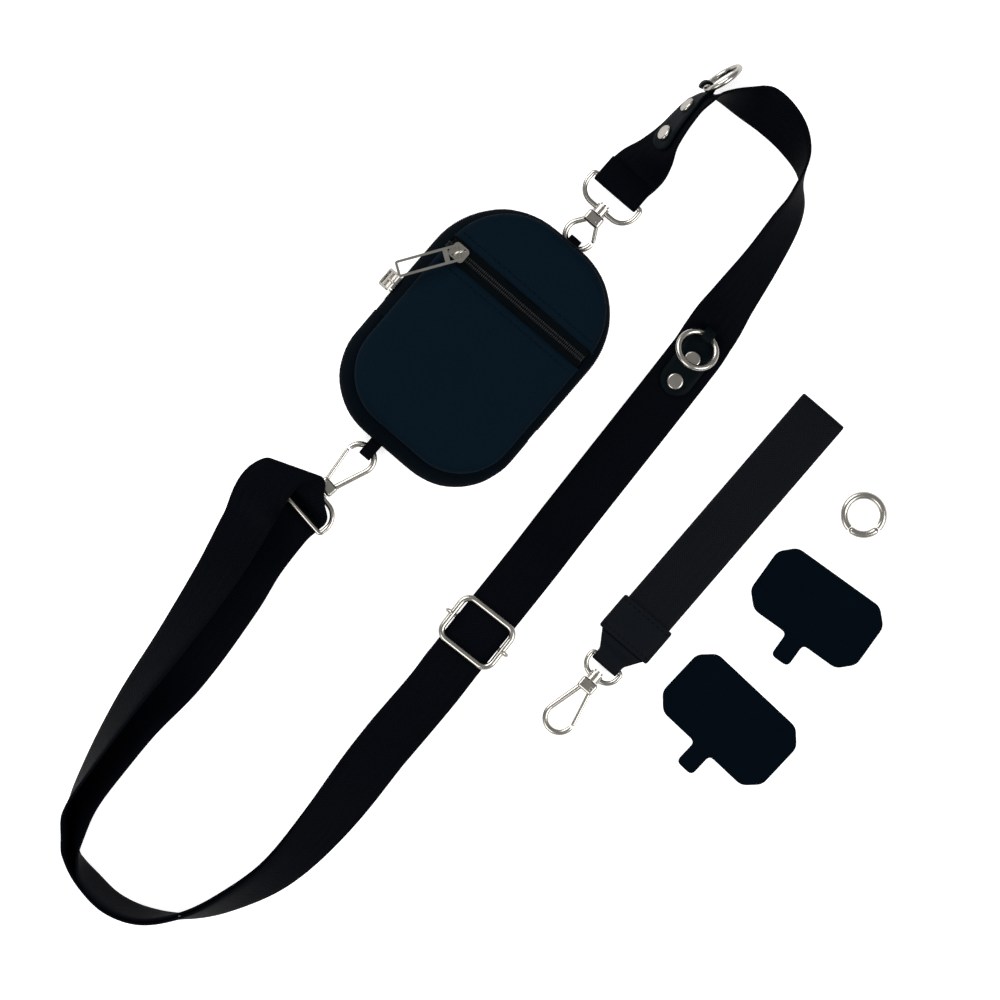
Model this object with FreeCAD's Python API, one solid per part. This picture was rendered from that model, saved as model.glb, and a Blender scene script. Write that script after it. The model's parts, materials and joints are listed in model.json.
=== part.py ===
import FreeCAD, Part
import math
import os

V = FreeCAD.Vector
UP = V(0, 0, 1)

# Scale and place: pixels of the flat lay become millimetres about the pouch
MM_PER_PIXEL = 0.47
POUCH_PIXEL = (477, 347)
RIGHT_SHARES = (0.758, 0.652)
TOP_SHARES = (0.652, -0.758)

# Common clearances
FIT_GAP = 0.3
OVERRUN = 2.0
STACK_GAP = 0.3

# Pouch shell
POUCH_WIDTH = 94.5
POUCH_LENGTH = 128.5
POUCH_DEPTH = 30.0
TOP_RADIUS = 39.0
FOOT_RADIUS = 33.0
SEAM_INSET = 5.5
CLOTH = 1.6
BACK_THICK = 2.0
LID_HEIGHT = 7.0
LID_ROUND = 3.0
PIPING_RADIUS = 0.9
DIVIDER_THICK = 0.8
BULGE_STEPS = 3

# Main zip round the gusset
MAIN_ZIP_WIDTH = 8.0
MAIN_ZIP_FOOT = -18.0
TAPE_SINK = 0.9
TAPE_THICK = 0.9
ZIP_SLIT = 1.3
SLIT_END = 4.0
TOOTH_PITCH = 3.6
TOOTH_DEEP = 0.6
TOOTH_WIDE = 1.1
MAIN_SLIDER_PLACE = -3.0
MAIN_PULL_LENGTH = 12.2
MAIN_PULL_WIDTH = 9.5
MAIN_PULL_LEAN_DEG = 68.0

# Front pocket zip
FRONT_ZIP_DROP = 37.0
FRONT_ZIP_WIDTH = 10.0
SLIDER_STOP = 0.1
FRONT_PULL_LENGTH = 30.0
FRONT_PULL_WIDTH = 8.0
FRONT_PULL_TURN_DEG = 236.0

# Sliders and pulls
SLIDER_LENGTH = 8.4
SLIDER_WIDTH = 7.6
SLIDER_PLATE = 1.1
SLIDER_POST = 0.7
SLIDER_POST_LENGTH = 4.0
BAIL_SPAN = 6.0
BAIL_WIRE = 0.6
PULL_THICK = 1.3
PULL_RIM = 1.2
PULL_BAR = 1.2

# Webbing loops on the pouch
LOOP_WIDTH = 6.2
TOP_LOOP_REACH = 10.2
FOOT_LOOP_REACH = 15.0
LOOP_WEB = 1.1
LOOP_CLEAR = 6.0
BOW_BACK = 4.8
TOP_LOOP_PLACE = 2.5
FOOT_LOOP_PLACE = -6.5

# Swivel snap hooks
WIRE_RADIUS = 1.2
LOOP_SIDE_PLAY = 1.4
LOOP_DEEP = 12.0
LOOP_FOOT_ROUND = 1.5
LOOP_TOP_ROUND = 8.0
EYE_RADIUS = 3.2
EYE_HALF = 2.0
STUD_RADIUS = 1.2
STUD_HEAD_RADIUS = 2.3
STUD_HEAD_THICK = 1.0
HOOK_BLOCK_LENGTH = 6.0
HOOK_BLOCK_WIDTH = 8.6
HOOK_BLOCK_THICK = 5.4
HOOK_ARM_LENGTH = 17.0
SHORT_ARM_LENGTH = 7.0
HOOK_WIRE_RADIUS = 1.4
BOW_RADIUS = 6.8
ARM_FOOT_PLACE = 2.4
GATE_RADIUS = 1.0
GATE_EYE_THICK = 2.4
GATE_PIN_RADIUS = 0.75
GATE_TIP_GAP = 0.8
HOOK_LEVEL = 5.2
FOOT_HOOK_TURN_DEG = 8.0

# Webbing of the long strap
WEB_WIDTH = 25.0
WEB_THICK = 1.5
WEB_PIXELS = 53.2
SEWN_LENGTH = 18.0

# Tri-glide adjuster
GLIDE_PIXEL = (477, 632)
GLIDE_LENGTH = 26.0
GLIDE_WIRE = 1.5
GLIDE_ROUND = 5.0
GLIDE_BAR = 1.0
RUN_SHARES = (-0.618, 0.786)
BAR_CLEAR = 0.15

# Leather tabs, rivets and rings on the strap
TAB_WIDTH = 17.0
TAB_THICK = 1.6
TAB_FOLD_WIDTH = 6.4
TAB_FOLD_RADIUS = 3.2
TAB_FOLD_PLAY = 0.9
RIVET_RADIUS = 3.9
RIVET_THICK = 1.3
NEAR_END_SHARE = 0.9
RING_RADIUS = 9.2
RING_WIRE = 1.4
UPPER_TAB_STATIONS = (1.3, 4.0)
UPPER_RIVET_STATIONS = (2.0, 2.95)
LOWER_TAB_STATIONS = (15.26, 14.0)
LOWER_RIVET_STATIONS = (15.15, 15.02)
UPPER_RING_LEAN_DEG = 0.0
LOWER_RING_LEAN_DEG = 152.0

# Wrist strap
WRIST_LENGTH = 126.0
WRIST_GAP = 0.8
WRIST_PIXEL = (736, 512)
SLEEVE_LENGTH = 19.0
SLEEVE_PLAY = 1.2
SLEEVE_THICK = 1.4
WRIST_TIP_LENGTH = 11.0
WRIST_LOOP_INNER_WIDTH = 15.0
WRIST_LOOP_DEEP = 9.0
WRIST_HOOK_LEVEL = 5.2

# Spring gate ring
KEY_RING_PIXEL = (863, 515)
KEY_RING_RADIUS = 9.2
KEY_RING_WIRE = 1.7
KEY_GATE_TURN_DEG = 70.0
KEY_GATE_START_DEG = 275.0
KEY_GATE_OPEN_DEG = 25.0

# Phone tether pads
PAD_LENGTH = 62.0
PAD_WIDTH = 36.0
PAD_THICK = 0.8
PAD_CHAMFER = 7.0
PAD_TAB_WIDTH = 9.5
PAD_TAB_LENGTH = 12.5
PAD_HOLE_RADIUS = 2.2
UPPER_PAD_PIXEL = (818, 608)
LOWER_PAD_PIXEL = (729, 719)
UPPER_PAD_TURN_DEG = 5.0
LOWER_PAD_TURN_DEG = -2.5

# Strap stations: left edge, right edge (pixels) and the level that the webbing lies at
UPPER_RUN = (
    ((641, 141), (671, 170), "floor"),
    ((660, 128), (678, 149), "floor"),
    ((686, 104), (699, 118), "floor"),
    ((706, 95), (712, 106), "floor"),
)
TOP_BEND = (
    ((718, 103), (722, 98), "floor"),
    ((734, 116), (748, 92), "floor"),
    ((757, 132), (775, 96), "floor"),
    ((779, 153), (796, 124), "floor"),
    ((796, 176), (802, 158), "floor"),
    ((803, 196), (796, 193), "floor"),
)
LONG_RUN = (
    ((798, 222), (773, 216), "floor"),
    ((776, 270), (744, 254), "floor"),
    ((751, 313), (712, 288), "floor"),
    ((730, 352), (688, 318), "floor"),
    ((716, 373), (673, 340), "floor"),
    ((584, 541), (541, 508), "floor"),
    ((553, 581), (510, 548), "glide"),
)
GLIDE_RUN = (
    ((481, 671), (438, 638), "glide"),
)
TAIL_START = ((469, 685), (427, 652), "floor")
LOWER_RUN = (
    ((453, 707), (410, 674), "stack"),
    ((403, 766), (361, 732), "stack"),
    ((340, 837), (305, 808), "stack"),
    ((285, 882), (264, 858), "stack"),
    ((230, 906), (219, 891), "stack"),
    ((182, 916), (178, 911), "stack"),
)
BOTTOM_BEND = (
    ((150, 911), (140, 921), "stack"),
    ((118, 894), (105, 908), "stack"),
    ((95, 872), (80, 882), "stack"),
    ((84, 848), (67, 850), "stack"),
)
OUTER_STRAND = (
    ((72, 815), (77, 816), "stack"),
    ((86, 768), (96, 772), "stack"),
    ((122, 699), (143, 712), "stack"),
    ((163, 632), (192, 650), "stack"),
    ((201, 565), (240, 585), "stack"),
    ((226, 512), (272, 530), "over"),
)
INNER_STRAND = (
    ((85, 805), (102, 812), "floor"),
    ((98, 752), (131, 772), "floor"),
    ((123, 702), (166, 735), "floor"),
    ((165, 648), (208, 681), "floor"),
    ((215, 579), (259, 611), "floor"),
)


# Loose fold through the lower loop: reach along the hook, height and side shift, as shares of the loop's depth,
# its level and the webbing's width
FOLD_SHARES = (
    (-0.75, 2.3, -0.55), (0.1, 2.95, -0.6), (0.6, 3.1, -0.5), (0.88, 3.02, -0.42), (1.05, 2.82, -0.36),
    (1.12, 2.55, -0.3), (1.06, 2.3, -0.25), (0.92, 2.1, -0.2), (0.74, 1.9, -0.1), (0.54, 1.35, 0),
    (0.36, 0.62, 0), (0.12, 0.16, 0), (-0.6, 0.144, 0),
)


def place(pixel, level):
    """Point of the part for a pixel of the flat lay, at a height above the surface."""
    across = (pixel[0] - POUCH_PIXEL[0]) * MM_PER_PIXEL
    down = (pixel[1] - POUCH_PIXEL[1]) * MM_PER_PIXEL
    x = across * RIGHT_SHARES[0] + down * RIGHT_SHARES[1]
    y = across * TOP_SHARES[0] + down * TOP_SHARES[1]
    return V(x, y, level)


def save(name, shape):
    """Write one named piece."""
    shape.exportStep("parts/" + name + ".step")
    print(name, len(shape.Solids), shape.isValid(), round(shape.Volume, 1))


def rounded_wire(half, foot, top, foot_round, top_round, level):
    """Closed outline with two rounds at the foot and two at the top, in a level plane."""
    corner = math.sqrt(0.5)
    low, high = foot + foot_round, top - top_round
    inner_foot, inner_top = half - foot_round, half - top_round

    def arc(x, y, radius, sx, sy, turn):
        start = V(x + sx * radius * turn, y + sy * radius * (1 - turn), level)
        middle = V(x + sx * radius * corner, y + sy * radius * corner, level)
        end = V(x + sx * radius * (1 - turn), y + sy * radius * turn, level)
        return Part.Arc(start, middle, end).toShape()

    arcs = [
        arc(inner_foot, low, foot_round, 1, -1, 0),
        arc(inner_top, high, top_round, 1, 1, 1),
        arc(-inner_top, high, top_round, -1, 1, 0),
        arc(-inner_foot, low, foot_round, -1, -1, 1),
    ]
    edges = []
    for i, edge in enumerate(arcs):
        follower = arcs[(i + 1) % len(arcs)]
        edges.append(edge)
        edges.append(Part.makeLine(edge.valueAt(edge.LastParameter), follower.valueAt(follower.FirstParameter)))
    return Part.Wire(edges)


def pouch_wire(inset, level):
    """Outline of the pouch, drawn in by an inset."""
    half = POUCH_WIDTH / 2 - inset
    end = POUCH_LENGTH / 2 - inset
    return rounded_wire(half, -end, end, FOOT_RADIUS - inset, TOP_RADIUS - inset, level)


def pouch_slab(inset, low, high):
    """Upright slab of the pouch's outline between two levels."""
    return Part.Face(pouch_wire(inset, low)).extrude(V(0, 0, high - low))


def box(low, high):
    """Box between two corners."""
    size = high - low
    return Part.makeBox(size.x, size.y, size.z, low)


FRONT_ZIP_PLACE = POUCH_LENGTH / 2 - FRONT_ZIP_DROP
SLIT_HALF = POUCH_WIDTH / 2 - SEAM_INSET - LID_ROUND
FRONT_SLIDER_PLACE = SLIDER_LENGTH / 2 + SLIDER_STOP - SLIT_HALF
GUSSET_LOW = BACK_THICK
GUSSET_HIGH = POUCH_DEPTH - LID_HEIGHT
CREST = (GUSSET_LOW + GUSSET_HIGH) / 2
ZIP_LOW = CREST - MAIN_ZIP_WIDTH / 2
ZIP_HIGH = CREST + MAIN_ZIP_WIDTH / 2


def bulge_inset(level):
    """How far the gusset lies inside its crest at a level."""
    lean = (level - CREST) / (GUSSET_HIGH - CREST)
    return SEAM_INSET * lean * lean


def gusset_levels():
    """Heights at which the gusset's outline is drawn."""
    lower = [GUSSET_LOW + (ZIP_LOW - GUSSET_LOW) * i / BULGE_STEPS for i in range(BULGE_STEPS)]
    upper = [ZIP_HIGH + (GUSSET_HIGH - ZIP_HIGH) * (i + 1) / BULGE_STEPS for i in range(BULGE_STEPS - 1)]
    return lower + [ZIP_LOW, CREST, ZIP_HIGH] + upper + [GUSSET_HIGH]


def gusset_ring(low, high):
    """Bulging cloth wall of the pouch between two levels."""
    levels = [z for z in gusset_levels() if low <= z <= high]
    outer = Part.makeLoft([pouch_wire(bulge_inset(z), z) for z in levels], True, True)
    inner = Part.makeLoft([pouch_wire(bulge_inset(z) + CLOTH, z) for z in levels], True, True)
    return outer.cut(inner)


def beyond_zip_foot(keep_top):
    """Half space above or below the foot of the main zip, as a large box."""
    reach = POUCH_WIDTH + POUCH_LENGTH
    if keep_top:
        return box(V(-reach, MAIN_ZIP_FOOT, -reach), V(reach, reach, reach))
    return box(V(-reach, -reach, -reach), V(reach, MAIN_ZIP_FOOT, reach))


def lid(inset, height, rounding):
    """Puffy front: the seam outline raised to a height, with a rounded upper edge."""
    slab = pouch_slab(SEAM_INSET + inset, GUSSET_HIGH, GUSSET_HIGH + height)
    top = GUSSET_HIGH + height
    rim = [e for e in slab.Edges if all(abs(v.Z - top) < FIT_GAP for v in e.Vertexes)]
    return slab.makeFillet(rounding, rim)


def lid_shell(inset, thick):
    """Hollow lid of a given cloth thickness."""
    outer = lid(inset, LID_HEIGHT - inset, LID_ROUND - inset)
    inner = lid(inset + thick, LID_HEIGHT - inset - thick, LID_ROUND - inset - thick)
    return outer.cut(inner)


def pouch_shell():
    """Back, gusset, front panels, divider and piping."""
    save("back_panel", pouch_slab(SEAM_INSET, 0, BACK_THICK))
    save("gusset_lower", gusset_ring(GUSSET_LOW, GUSSET_HIGH).common(beyond_zip_foot(False)))
    save("gusset_back_strip", gusset_ring(GUSSET_LOW, ZIP_LOW).common(beyond_zip_foot(True)))
    save("gusset_front_strip", gusset_ring(ZIP_HIGH, GUSSET_HIGH).common(beyond_zip_foot(True)))
    shell = lid_shell(0, CLOTH)
    reach = POUCH_WIDTH + POUCH_LENGTH
    slot_low = FRONT_ZIP_PLACE - FRONT_ZIP_WIDTH / 2
    slot_high = FRONT_ZIP_PLACE + FRONT_ZIP_WIDTH / 2
    save("front_panel_upper", shell.common(box(V(-reach, slot_high, 0), V(reach, reach, reach))))
    save("front_panel_lower", shell.common(box(V(-reach, -reach, 0), V(reach, slot_low, reach))))
    lining_inset = SEAM_INSET + max(CLOTH, TAPE_SINK + TAPE_THICK)
    save("pocket_divider", pouch_slab(lining_inset, GUSSET_HIGH, GUSSET_HIGH + DIVIDER_THICK))
    save("front_piping", piping(GUSSET_HIGH))
    save("back_piping", piping(GUSSET_LOW))


def piping(level):
    """Half-round piping in the groove of a seam, outside the panel and the gusset."""
    cord = wire_ring(pouch_wire(SEAM_INSET, level), PIPING_RADIUS)
    return cord.cut(pouch_slab(SEAM_INSET, 0, POUCH_DEPTH)).cut(gusset_outer())


def gusset_outer():
    """Solid within the gusset's outer face, to seat trim on it."""
    return Part.makeLoft([pouch_wire(bulge_inset(z), z) for z in gusset_levels()], True, True)


def main_zip():
    """Tape with a slit, and two rows of teeth, round the top of the gusset."""
    keep = beyond_zip_foot(True)
    tape = pouch_slab(TAPE_SINK, ZIP_LOW, ZIP_HIGH).cut(pouch_slab(TAPE_SINK + TAPE_THICK, ZIP_LOW, ZIP_HIGH))
    slit_foot = MAIN_ZIP_FOOT + SLIT_END
    reach = POUCH_WIDTH + POUCH_LENGTH
    slit = box(V(-reach, slit_foot, CREST - ZIP_SLIT / 2), V(reach, reach, CREST + ZIP_SLIT / 2))
    save("main_zip_tape", tape.common(keep).cut(slit))
    rows = []
    for level in (CREST - ZIP_SLIT / 2 - TOOTH_WIDE, CREST + ZIP_SLIT / 2):
        rows.append(tooth_band(level).common(box(V(-reach, slit_foot, 0), V(reach, reach, reach))))
    save("main_zip_teeth", Part.makeCompound([s for row in rows for s in row.Solids]))


def tooth_band(level):
    """One row of teeth: a band on the tape whose outer edge rises and falls along the outline."""
    inner = pouch_wire(TAPE_SINK, level)
    count = 2 * int(inner.Length / TOOTH_PITCH / 2)
    crown = pouch_wire(TAPE_SINK - TOOTH_DEEP, level).discretize(2 * count)
    valley = pouch_wire(TAPE_SINK - TOOTH_DEEP / 2, level).discretize(2 * count)
    points = [crown[i] if i % 4 < 2 else valley[i] for i in range(2 * count - 1)]
    outer = Part.makePolygon(points + [points[0]])
    ring = Part.Face(outer).extrude(V(0, 0, TOOTH_WIDE))
    return ring.cut(pouch_slab(TAPE_SINK, level, level + TOOTH_WIDE))


TAPE_TOP = POUCH_DEPTH - TAPE_SINK


def front_zip():
    """Tape with a slit across the front, under the lid's edges, and its two rows of teeth."""
    half_width = FRONT_ZIP_WIDTH / 2
    reach = POUCH_WIDTH
    band = box(V(-reach, FRONT_ZIP_PLACE - half_width, 0), V(reach, FRONT_ZIP_PLACE + half_width, reach))
    tape = lid_shell(TAPE_SINK, TAPE_THICK).common(band)
    end = SLIT_HALF
    low = V(-end, FRONT_ZIP_PLACE - ZIP_SLIT / 2, GUSSET_HIGH + DIVIDER_THICK)
    high = V(end, FRONT_ZIP_PLACE + ZIP_SLIT / 2, POUCH_DEPTH)
    save("front_zip_tape", tape.cut(box(low, high)))
    rows = []
    count = int(2 * end / TOOTH_PITCH)
    step = 2 * end / count
    for side in (-1, 1):
        near = FRONT_ZIP_PLACE + side * ZIP_SLIT / 2
        crest = near + side * TOOTH_WIDE
        dip = near + side * TOOTH_WIDE / 2
        points = [V(-end, near, TAPE_TOP)]
        for i in range(count):
            left = -end + i * step
            points.append(V(left, crest, TAPE_TOP))
            points.append(V(left + step / 2, crest, TAPE_TOP))
            points.append(V(left + step / 2, dip, TAPE_TOP))
            points.append(V(left + step, dip, TAPE_TOP))
        points.append(V(end, near, TAPE_TOP))
        rows.append(Part.Face(Part.makePolygon(points + [points[0]])).extrude(V(0, 0, TOOTH_DEEP)))
    save("front_zip_teeth", Part.makeCompound(rows))


PLATE_LOW = TOOTH_DEEP + FIT_GAP
PLATE_HIGH = PLATE_LOW + SLIDER_PLATE


def slider():
    """Zip slider with its tape's outer face at height zero: two plates, a post and a bail."""
    half_length, half_width = SLIDER_LENGTH / 2, SLIDER_WIDTH / 2
    top = rounded_wire(half_width, -half_length, half_length, half_width / 2, half_width / 2, PLATE_LOW)
    plate = Part.Face(top).extrude(V(0, 0, SLIDER_PLATE))
    lower_level = -TAPE_THICK - FIT_GAP - SLIDER_PLATE
    under = rounded_wire(half_width, -half_length, half_length, half_width / 2, half_width / 2, lower_level)
    lower = Part.Face(under).extrude(V(0, 0, SLIDER_PLATE))
    post_low = V(-SLIDER_POST / 2, half_length - SLIDER_POST_LENGTH, lower_level)
    post = box(post_low, V(SLIDER_POST / 2, half_length, PLATE_HIGH))
    body = plate.fuse(lower).fuse(post)
    return body.removeSplitter()


def bail(turn):
    """Arch that holds the pull, standing on the slider's plate, turned about the upright."""
    half = BAIL_SPAN / 2
    arch = Part.makeTorus(half, BAIL_WIRE, V(0, 0, 0), V(1, 0, 0))
    arch = arch.common(box(V(-half, -SLIDER_LENGTH, 0), V(half, SLIDER_LENGTH, SLIDER_LENGTH)))
    arch.translate(V(0, 0, PLATE_HIGH))
    arch.rotate(V(0, 0, 0), UP, turn)
    return arch


def pull(length, width):
    """Pull tab with its hinge bar at the origin, lying along +Y: a bar window, a neck and a long window."""
    half = width / 2
    head = PULL_BAR / 2
    neck = BAIL_SPAN / 2 + 2 * BAIL_WIRE
    outline = rounded_wire(half, -head, length, head, half / 3, -PULL_THICK / 2)
    plate = Part.Face(outline).extrude(V(0, 0, PULL_THICK))
    inner = half - PULL_RIM
    window = box(V(-inner, -width, -width), V(inner, head + neck, width))
    long_window = box(V(-inner, head + neck + 2 * PULL_RIM, -width), V(inner, length - PULL_RIM, width))
    bar = rod(V(-inner - PULL_RIM / 2, 0, 0), V(inner + PULL_RIM / 2, 0, 0), head)
    return plate.cut(window).cut(long_window).fuse(bar).removeSplitter()


HINGE_LEVEL = PLATE_HIGH + PULL_THICK


def moved(shape, turn, axis, offset):
    """Copy of a shape, turned about an axis through the origin and then moved."""
    copy = shape.copy()
    copy.rotate(V(0, 0, 0), axis, turn)
    copy.translate(offset)
    return copy


def sliders_and_pulls():
    """Front slider across the front, main slider on the left gusset, each with its pull."""
    quarter = 90
    seat = V(FRONT_SLIDER_PLACE, FRONT_ZIP_PLACE, TAPE_TOP)
    pull_turn = FRONT_PULL_TURN_DEG - quarter
    front = moved(slider(), quarter, UP, V(0, 0, 0)).fuse(bail(pull_turn))
    save("front_slider", moved(front.removeSplitter(), 0, UP, seat))
    front_pull = moved(pull(FRONT_PULL_LENGTH, FRONT_PULL_WIDTH), pull_turn, UP, V(0, 0, HINGE_LEVEL))
    save("front_pull", moved(front_pull, 0, UP, seat))
    side = V(-POUCH_WIDTH / 2 + TAPE_SINK, MAIN_SLIDER_PLACE, CREST)
    upright = slider().fuse(moved(bail(quarter), 0, UP, V(0, 0, 0))).removeSplitter()
    save("main_slider", moved(upright, -quarter, V(0, 1, 0), side))
    tab = moved(pull(MAIN_PULL_LENGTH, MAIN_PULL_WIDTH), quarter, UP, V(0, 0, 0))
    tab = moved(tab, -MAIN_PULL_LEAN_DEG, V(0, 1, 0), V(0, 0, 0))
    save("main_pull", moved(tab, 0, UP, side + V(-HINGE_LEVEL, 0, 0)))


SEAM_END = POUCH_LENGTH / 2 - SEAM_INSET


def web_loop(centre, reach, side):
    """Webbing loop sewn in the gusset: two layers that leave the seam, joined by a round end."""
    half_clear = LOOP_CLEAR / 2
    inner_end = reach - LOOP_WEB
    round_in, round_out = half_clear, half_clear + LOOP_WEB

    def profile(radius, end):
        top = V(0, -SEAM_INSET, radius)
        bend = V(0, end, 0)
        bottom = V(0, -SEAM_INSET, -radius)
        upper = V(0, end - radius, radius)
        lower = V(0, end - radius, -radius)
        edges = [Part.makeLine(top, upper), Part.Arc(upper, bend, lower).toShape()]
        edges += [Part.makeLine(lower, bottom), Part.makeLine(bottom, top)]
        return Part.Face(Part.Wire(edges)).extrude(V(LOOP_WIDTH, 0, 0))

    loop = profile(round_out, reach).cut(profile(round_in, inner_end))
    turn = 0 if side > 0 else 180
    loop.translate(V(-LOOP_WIDTH / 2, 0, 0))
    loop = moved(loop, turn, UP, V(centre, side * SEAM_END, HOOK_LEVEL))
    loop = loop.cut(gusset_outer()).cut(pouch_slab(SEAM_INSET, 0, GUSSET_HIGH))
    return loop.cut(piping(GUSSET_LOW))


def wire_ring(path, radius):
    """Round wire along a closed level path."""
    first = path.Edges[0]
    start = first.valueAt(first.FirstParameter)
    along = first.tangentAt(first.FirstParameter)
    return path.makePipeShell([Part.Wire(Part.makeCircle(radius, start, along))], True, False)


def rod(start, end, radius):
    """Round bar between two points."""
    along = end - start
    return Part.makeCylinder(radius, along.Length, start, along)


EYE_BASE = EYE_HALF + FIT_GAP
LOOP_INNER_WIDTH = WEB_WIDTH + LOOP_SIDE_PLAY


def hook_loop(inner_width, deep):
    """Wire loop with its straight bar at the origin and the swivel eye on its far side."""
    half = inner_width / 2 + WIRE_RADIUS
    top_round = min(LOOP_TOP_ROUND, deep - LOOP_FOOT_ROUND - WIRE_RADIUS, half - WIRE_RADIUS)
    ring = wire_ring(rounded_wire(half, 0, deep, LOOP_FOOT_ROUND, top_round, 0), WIRE_RADIUS)
    eye = rod(V(0, deep - EYE_HALF, 0), V(0, deep + EYE_HALF, 0), EYE_RADIUS)
    bore = rod(V(0, deep - EYE_HALF - OVERRUN, 0), V(0, deep + EYE_HALF + OVERRUN, 0), STUD_RADIUS + BAR_CLEAR)
    return ring.fuse(eye).cut(bore).removeSplitter()


def hook_body(deep, arm_length):
    """Swivel stud and its head, forked block, fixed arm and bow."""
    block_foot = deep + EYE_BASE
    block_head = block_foot + HOOK_BLOCK_LENGTH
    stud = rod(V(0, deep - EYE_BASE, 0), V(0, block_foot, 0), STUD_RADIUS)
    head = rod(V(0, deep - EYE_BASE - STUD_HEAD_THICK, 0), V(0, deep - EYE_BASE, 0), STUD_HEAD_RADIUS)
    half_width, half_thick = HOOK_BLOCK_WIDTH / 2, HOOK_BLOCK_THICK / 2
    block = box(V(-half_width, block_foot, -half_thick), V(half_width, block_head, half_thick))
    block = block.makeFillet(half_thick / 2, block.Edges)
    bow_centre = block_head + arm_length
    arm_foot = V(ARM_FOOT_PLACE, block_head - HOOK_WIRE_RADIUS, 0)
    centre = V(0, bow_centre, 0)
    lean = centre - arm_foot
    turn = math.acos(BOW_RADIUS / lean.Length) - math.atan2(lean.y, arm_foot.x)
    touch = centre + V(math.cos(turn), math.sin(turn), 0) * BOW_RADIUS
    bow = Part.Arc(touch, centre + V(0, BOW_RADIUS, 0), centre - V(BOW_RADIUS, 0, 0)).toShape()
    section = Part.Wire(Part.makeCircle(HOOK_WIRE_RADIUS, arm_foot, touch - arm_foot))
    hook = Part.Wire([Part.makeLine(arm_foot, touch), bow]).makePipeShell([section], True, False)
    fork = box(V(-deep, block_foot + HOOK_WIRE_RADIUS, -GATE_EYE_THICK / 2 - BAR_CLEAR),
               V(0, block_head + deep, GATE_EYE_THICK / 2 + BAR_CLEAR))
    fork = fork.common(box(V(-deep, block_foot, -deep), V(0, block_head + FIT_GAP, deep)))
    bore = gate_pin(deep, BAR_CLEAR)
    body = block.cut(fork).cut(bore).fuse(stud).fuse(head).fuse(hook)
    return body.removeSplitter()


def gate_pivot(deep):
    """Centre of the gate's pin."""
    return V(-ARM_FOOT_PLACE, deep + EYE_BASE + HOOK_BLOCK_LENGTH - HOOK_BLOCK_THICK / 2, 0)


def gate_pin(deep, clearance):
    """Pin through the fork, flush with the block's faces."""
    reach = V(0, 0, HOOK_BLOCK_THICK / 2)
    return rod(gate_pivot(deep) - reach, gate_pivot(deep) + reach, GATE_PIN_RADIUS + clearance)


def hook_gate(deep, arm_length):
    """Sprung gate: an eye on the pin and a lever that closes against the nose of the bow."""
    pivot = gate_pivot(deep)
    bow_centre = deep + EYE_BASE + HOOK_BLOCK_LENGTH + arm_length
    tip = V(-BOW_RADIUS, bow_centre - GATE_TIP_GAP - GATE_RADIUS, 0)
    lever = rod(pivot, tip, GATE_RADIUS).fuse(Part.makeSphere(GATE_RADIUS, tip))
    half = V(0, 0, GATE_EYE_THICK / 2)
    eye = rod(pivot - half, pivot + half, 2 * GATE_PIN_RADIUS)
    bore = rod(pivot - half * 2, pivot + half * 2, GATE_PIN_RADIUS + BAR_CLEAR)
    return lever.fuse(eye).cut(bore).removeSplitter()


def hook_reach(deep, arm_length):
    """Distance from the loop's bar to the middle of the bow's end wire."""
    return deep + EYE_BASE + HOOK_BLOCK_LENGTH + arm_length + BOW_RADIUS


def snap_hook(name, inner_width, deep, arm_length, turn, origin):
    """Save the four pieces of one hook, with the loop's bar at the origin point."""
    pieces = {
        "loop": hook_loop(inner_width, deep),
        "body": hook_body(deep, arm_length),
        "gate": hook_gate(deep, arm_length),
        "pin": gate_pin(deep, 0),
    }
    for suffix, shape in pieces.items():
        save(name + "_" + suffix, moved(shape, turn, UP, origin))
    pivot = moved(Part.Vertex(gate_pivot(deep)), turn, UP, origin).Point
    eye = moved(Part.Vertex(V(0, deep, 0)), turn, UP, origin).Point
    print(name, "eye", tuple(eye), "pivot", tuple(pivot))


UPPER_BAR = V(TOP_LOOP_PLACE, SEAM_END + TOP_LOOP_REACH - BOW_BACK + hook_reach(LOOP_DEEP, SHORT_ARM_LENGTH),
              HOOK_LEVEL)
FOOT_TURN = math.radians(FOOT_HOOK_TURN_DEG)
FOOT_BOW = V(FOOT_LOOP_PLACE, -SEAM_END - FOOT_LOOP_REACH + BOW_BACK, HOOK_LEVEL)
FOOT_ALONG = V(math.sin(FOOT_TURN), math.cos(FOOT_TURN), 0)
LOWER_BAR = FOOT_BOW - FOOT_ALONG * hook_reach(LOOP_DEEP, HOOK_ARM_LENGTH)


def pouch_hooks():
    """Loops on the pouch and the two hooks of the long strap."""
    save("top_loop", web_loop(TOP_LOOP_PLACE, TOP_LOOP_REACH, 1))
    save("foot_loop", web_loop(FOOT_LOOP_PLACE, FOOT_LOOP_REACH, -1))
    snap_hook("upper_hook", LOOP_INNER_WIDTH, LOOP_DEEP, SHORT_ARM_LENGTH, 180, UPPER_BAR)
    snap_hook("lower_hook", LOOP_INNER_WIDTH, LOOP_DEEP, HOOK_ARM_LENGTH, -FOOT_HOOK_TURN_DEG, LOWER_BAR)


LAYER = WEB_THICK + STACK_GAP
TAIL_OUTER = GLIDE_BAR + BAR_CLEAR + WEB_THICK
GLIDE_LEVEL = 2 * TAIL_OUTER + STACK_GAP
LEVELS = {"floor": 0, "stack": 0, "glide": GLIDE_LEVEL, "over": 2 * HOOK_LEVEL}


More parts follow.
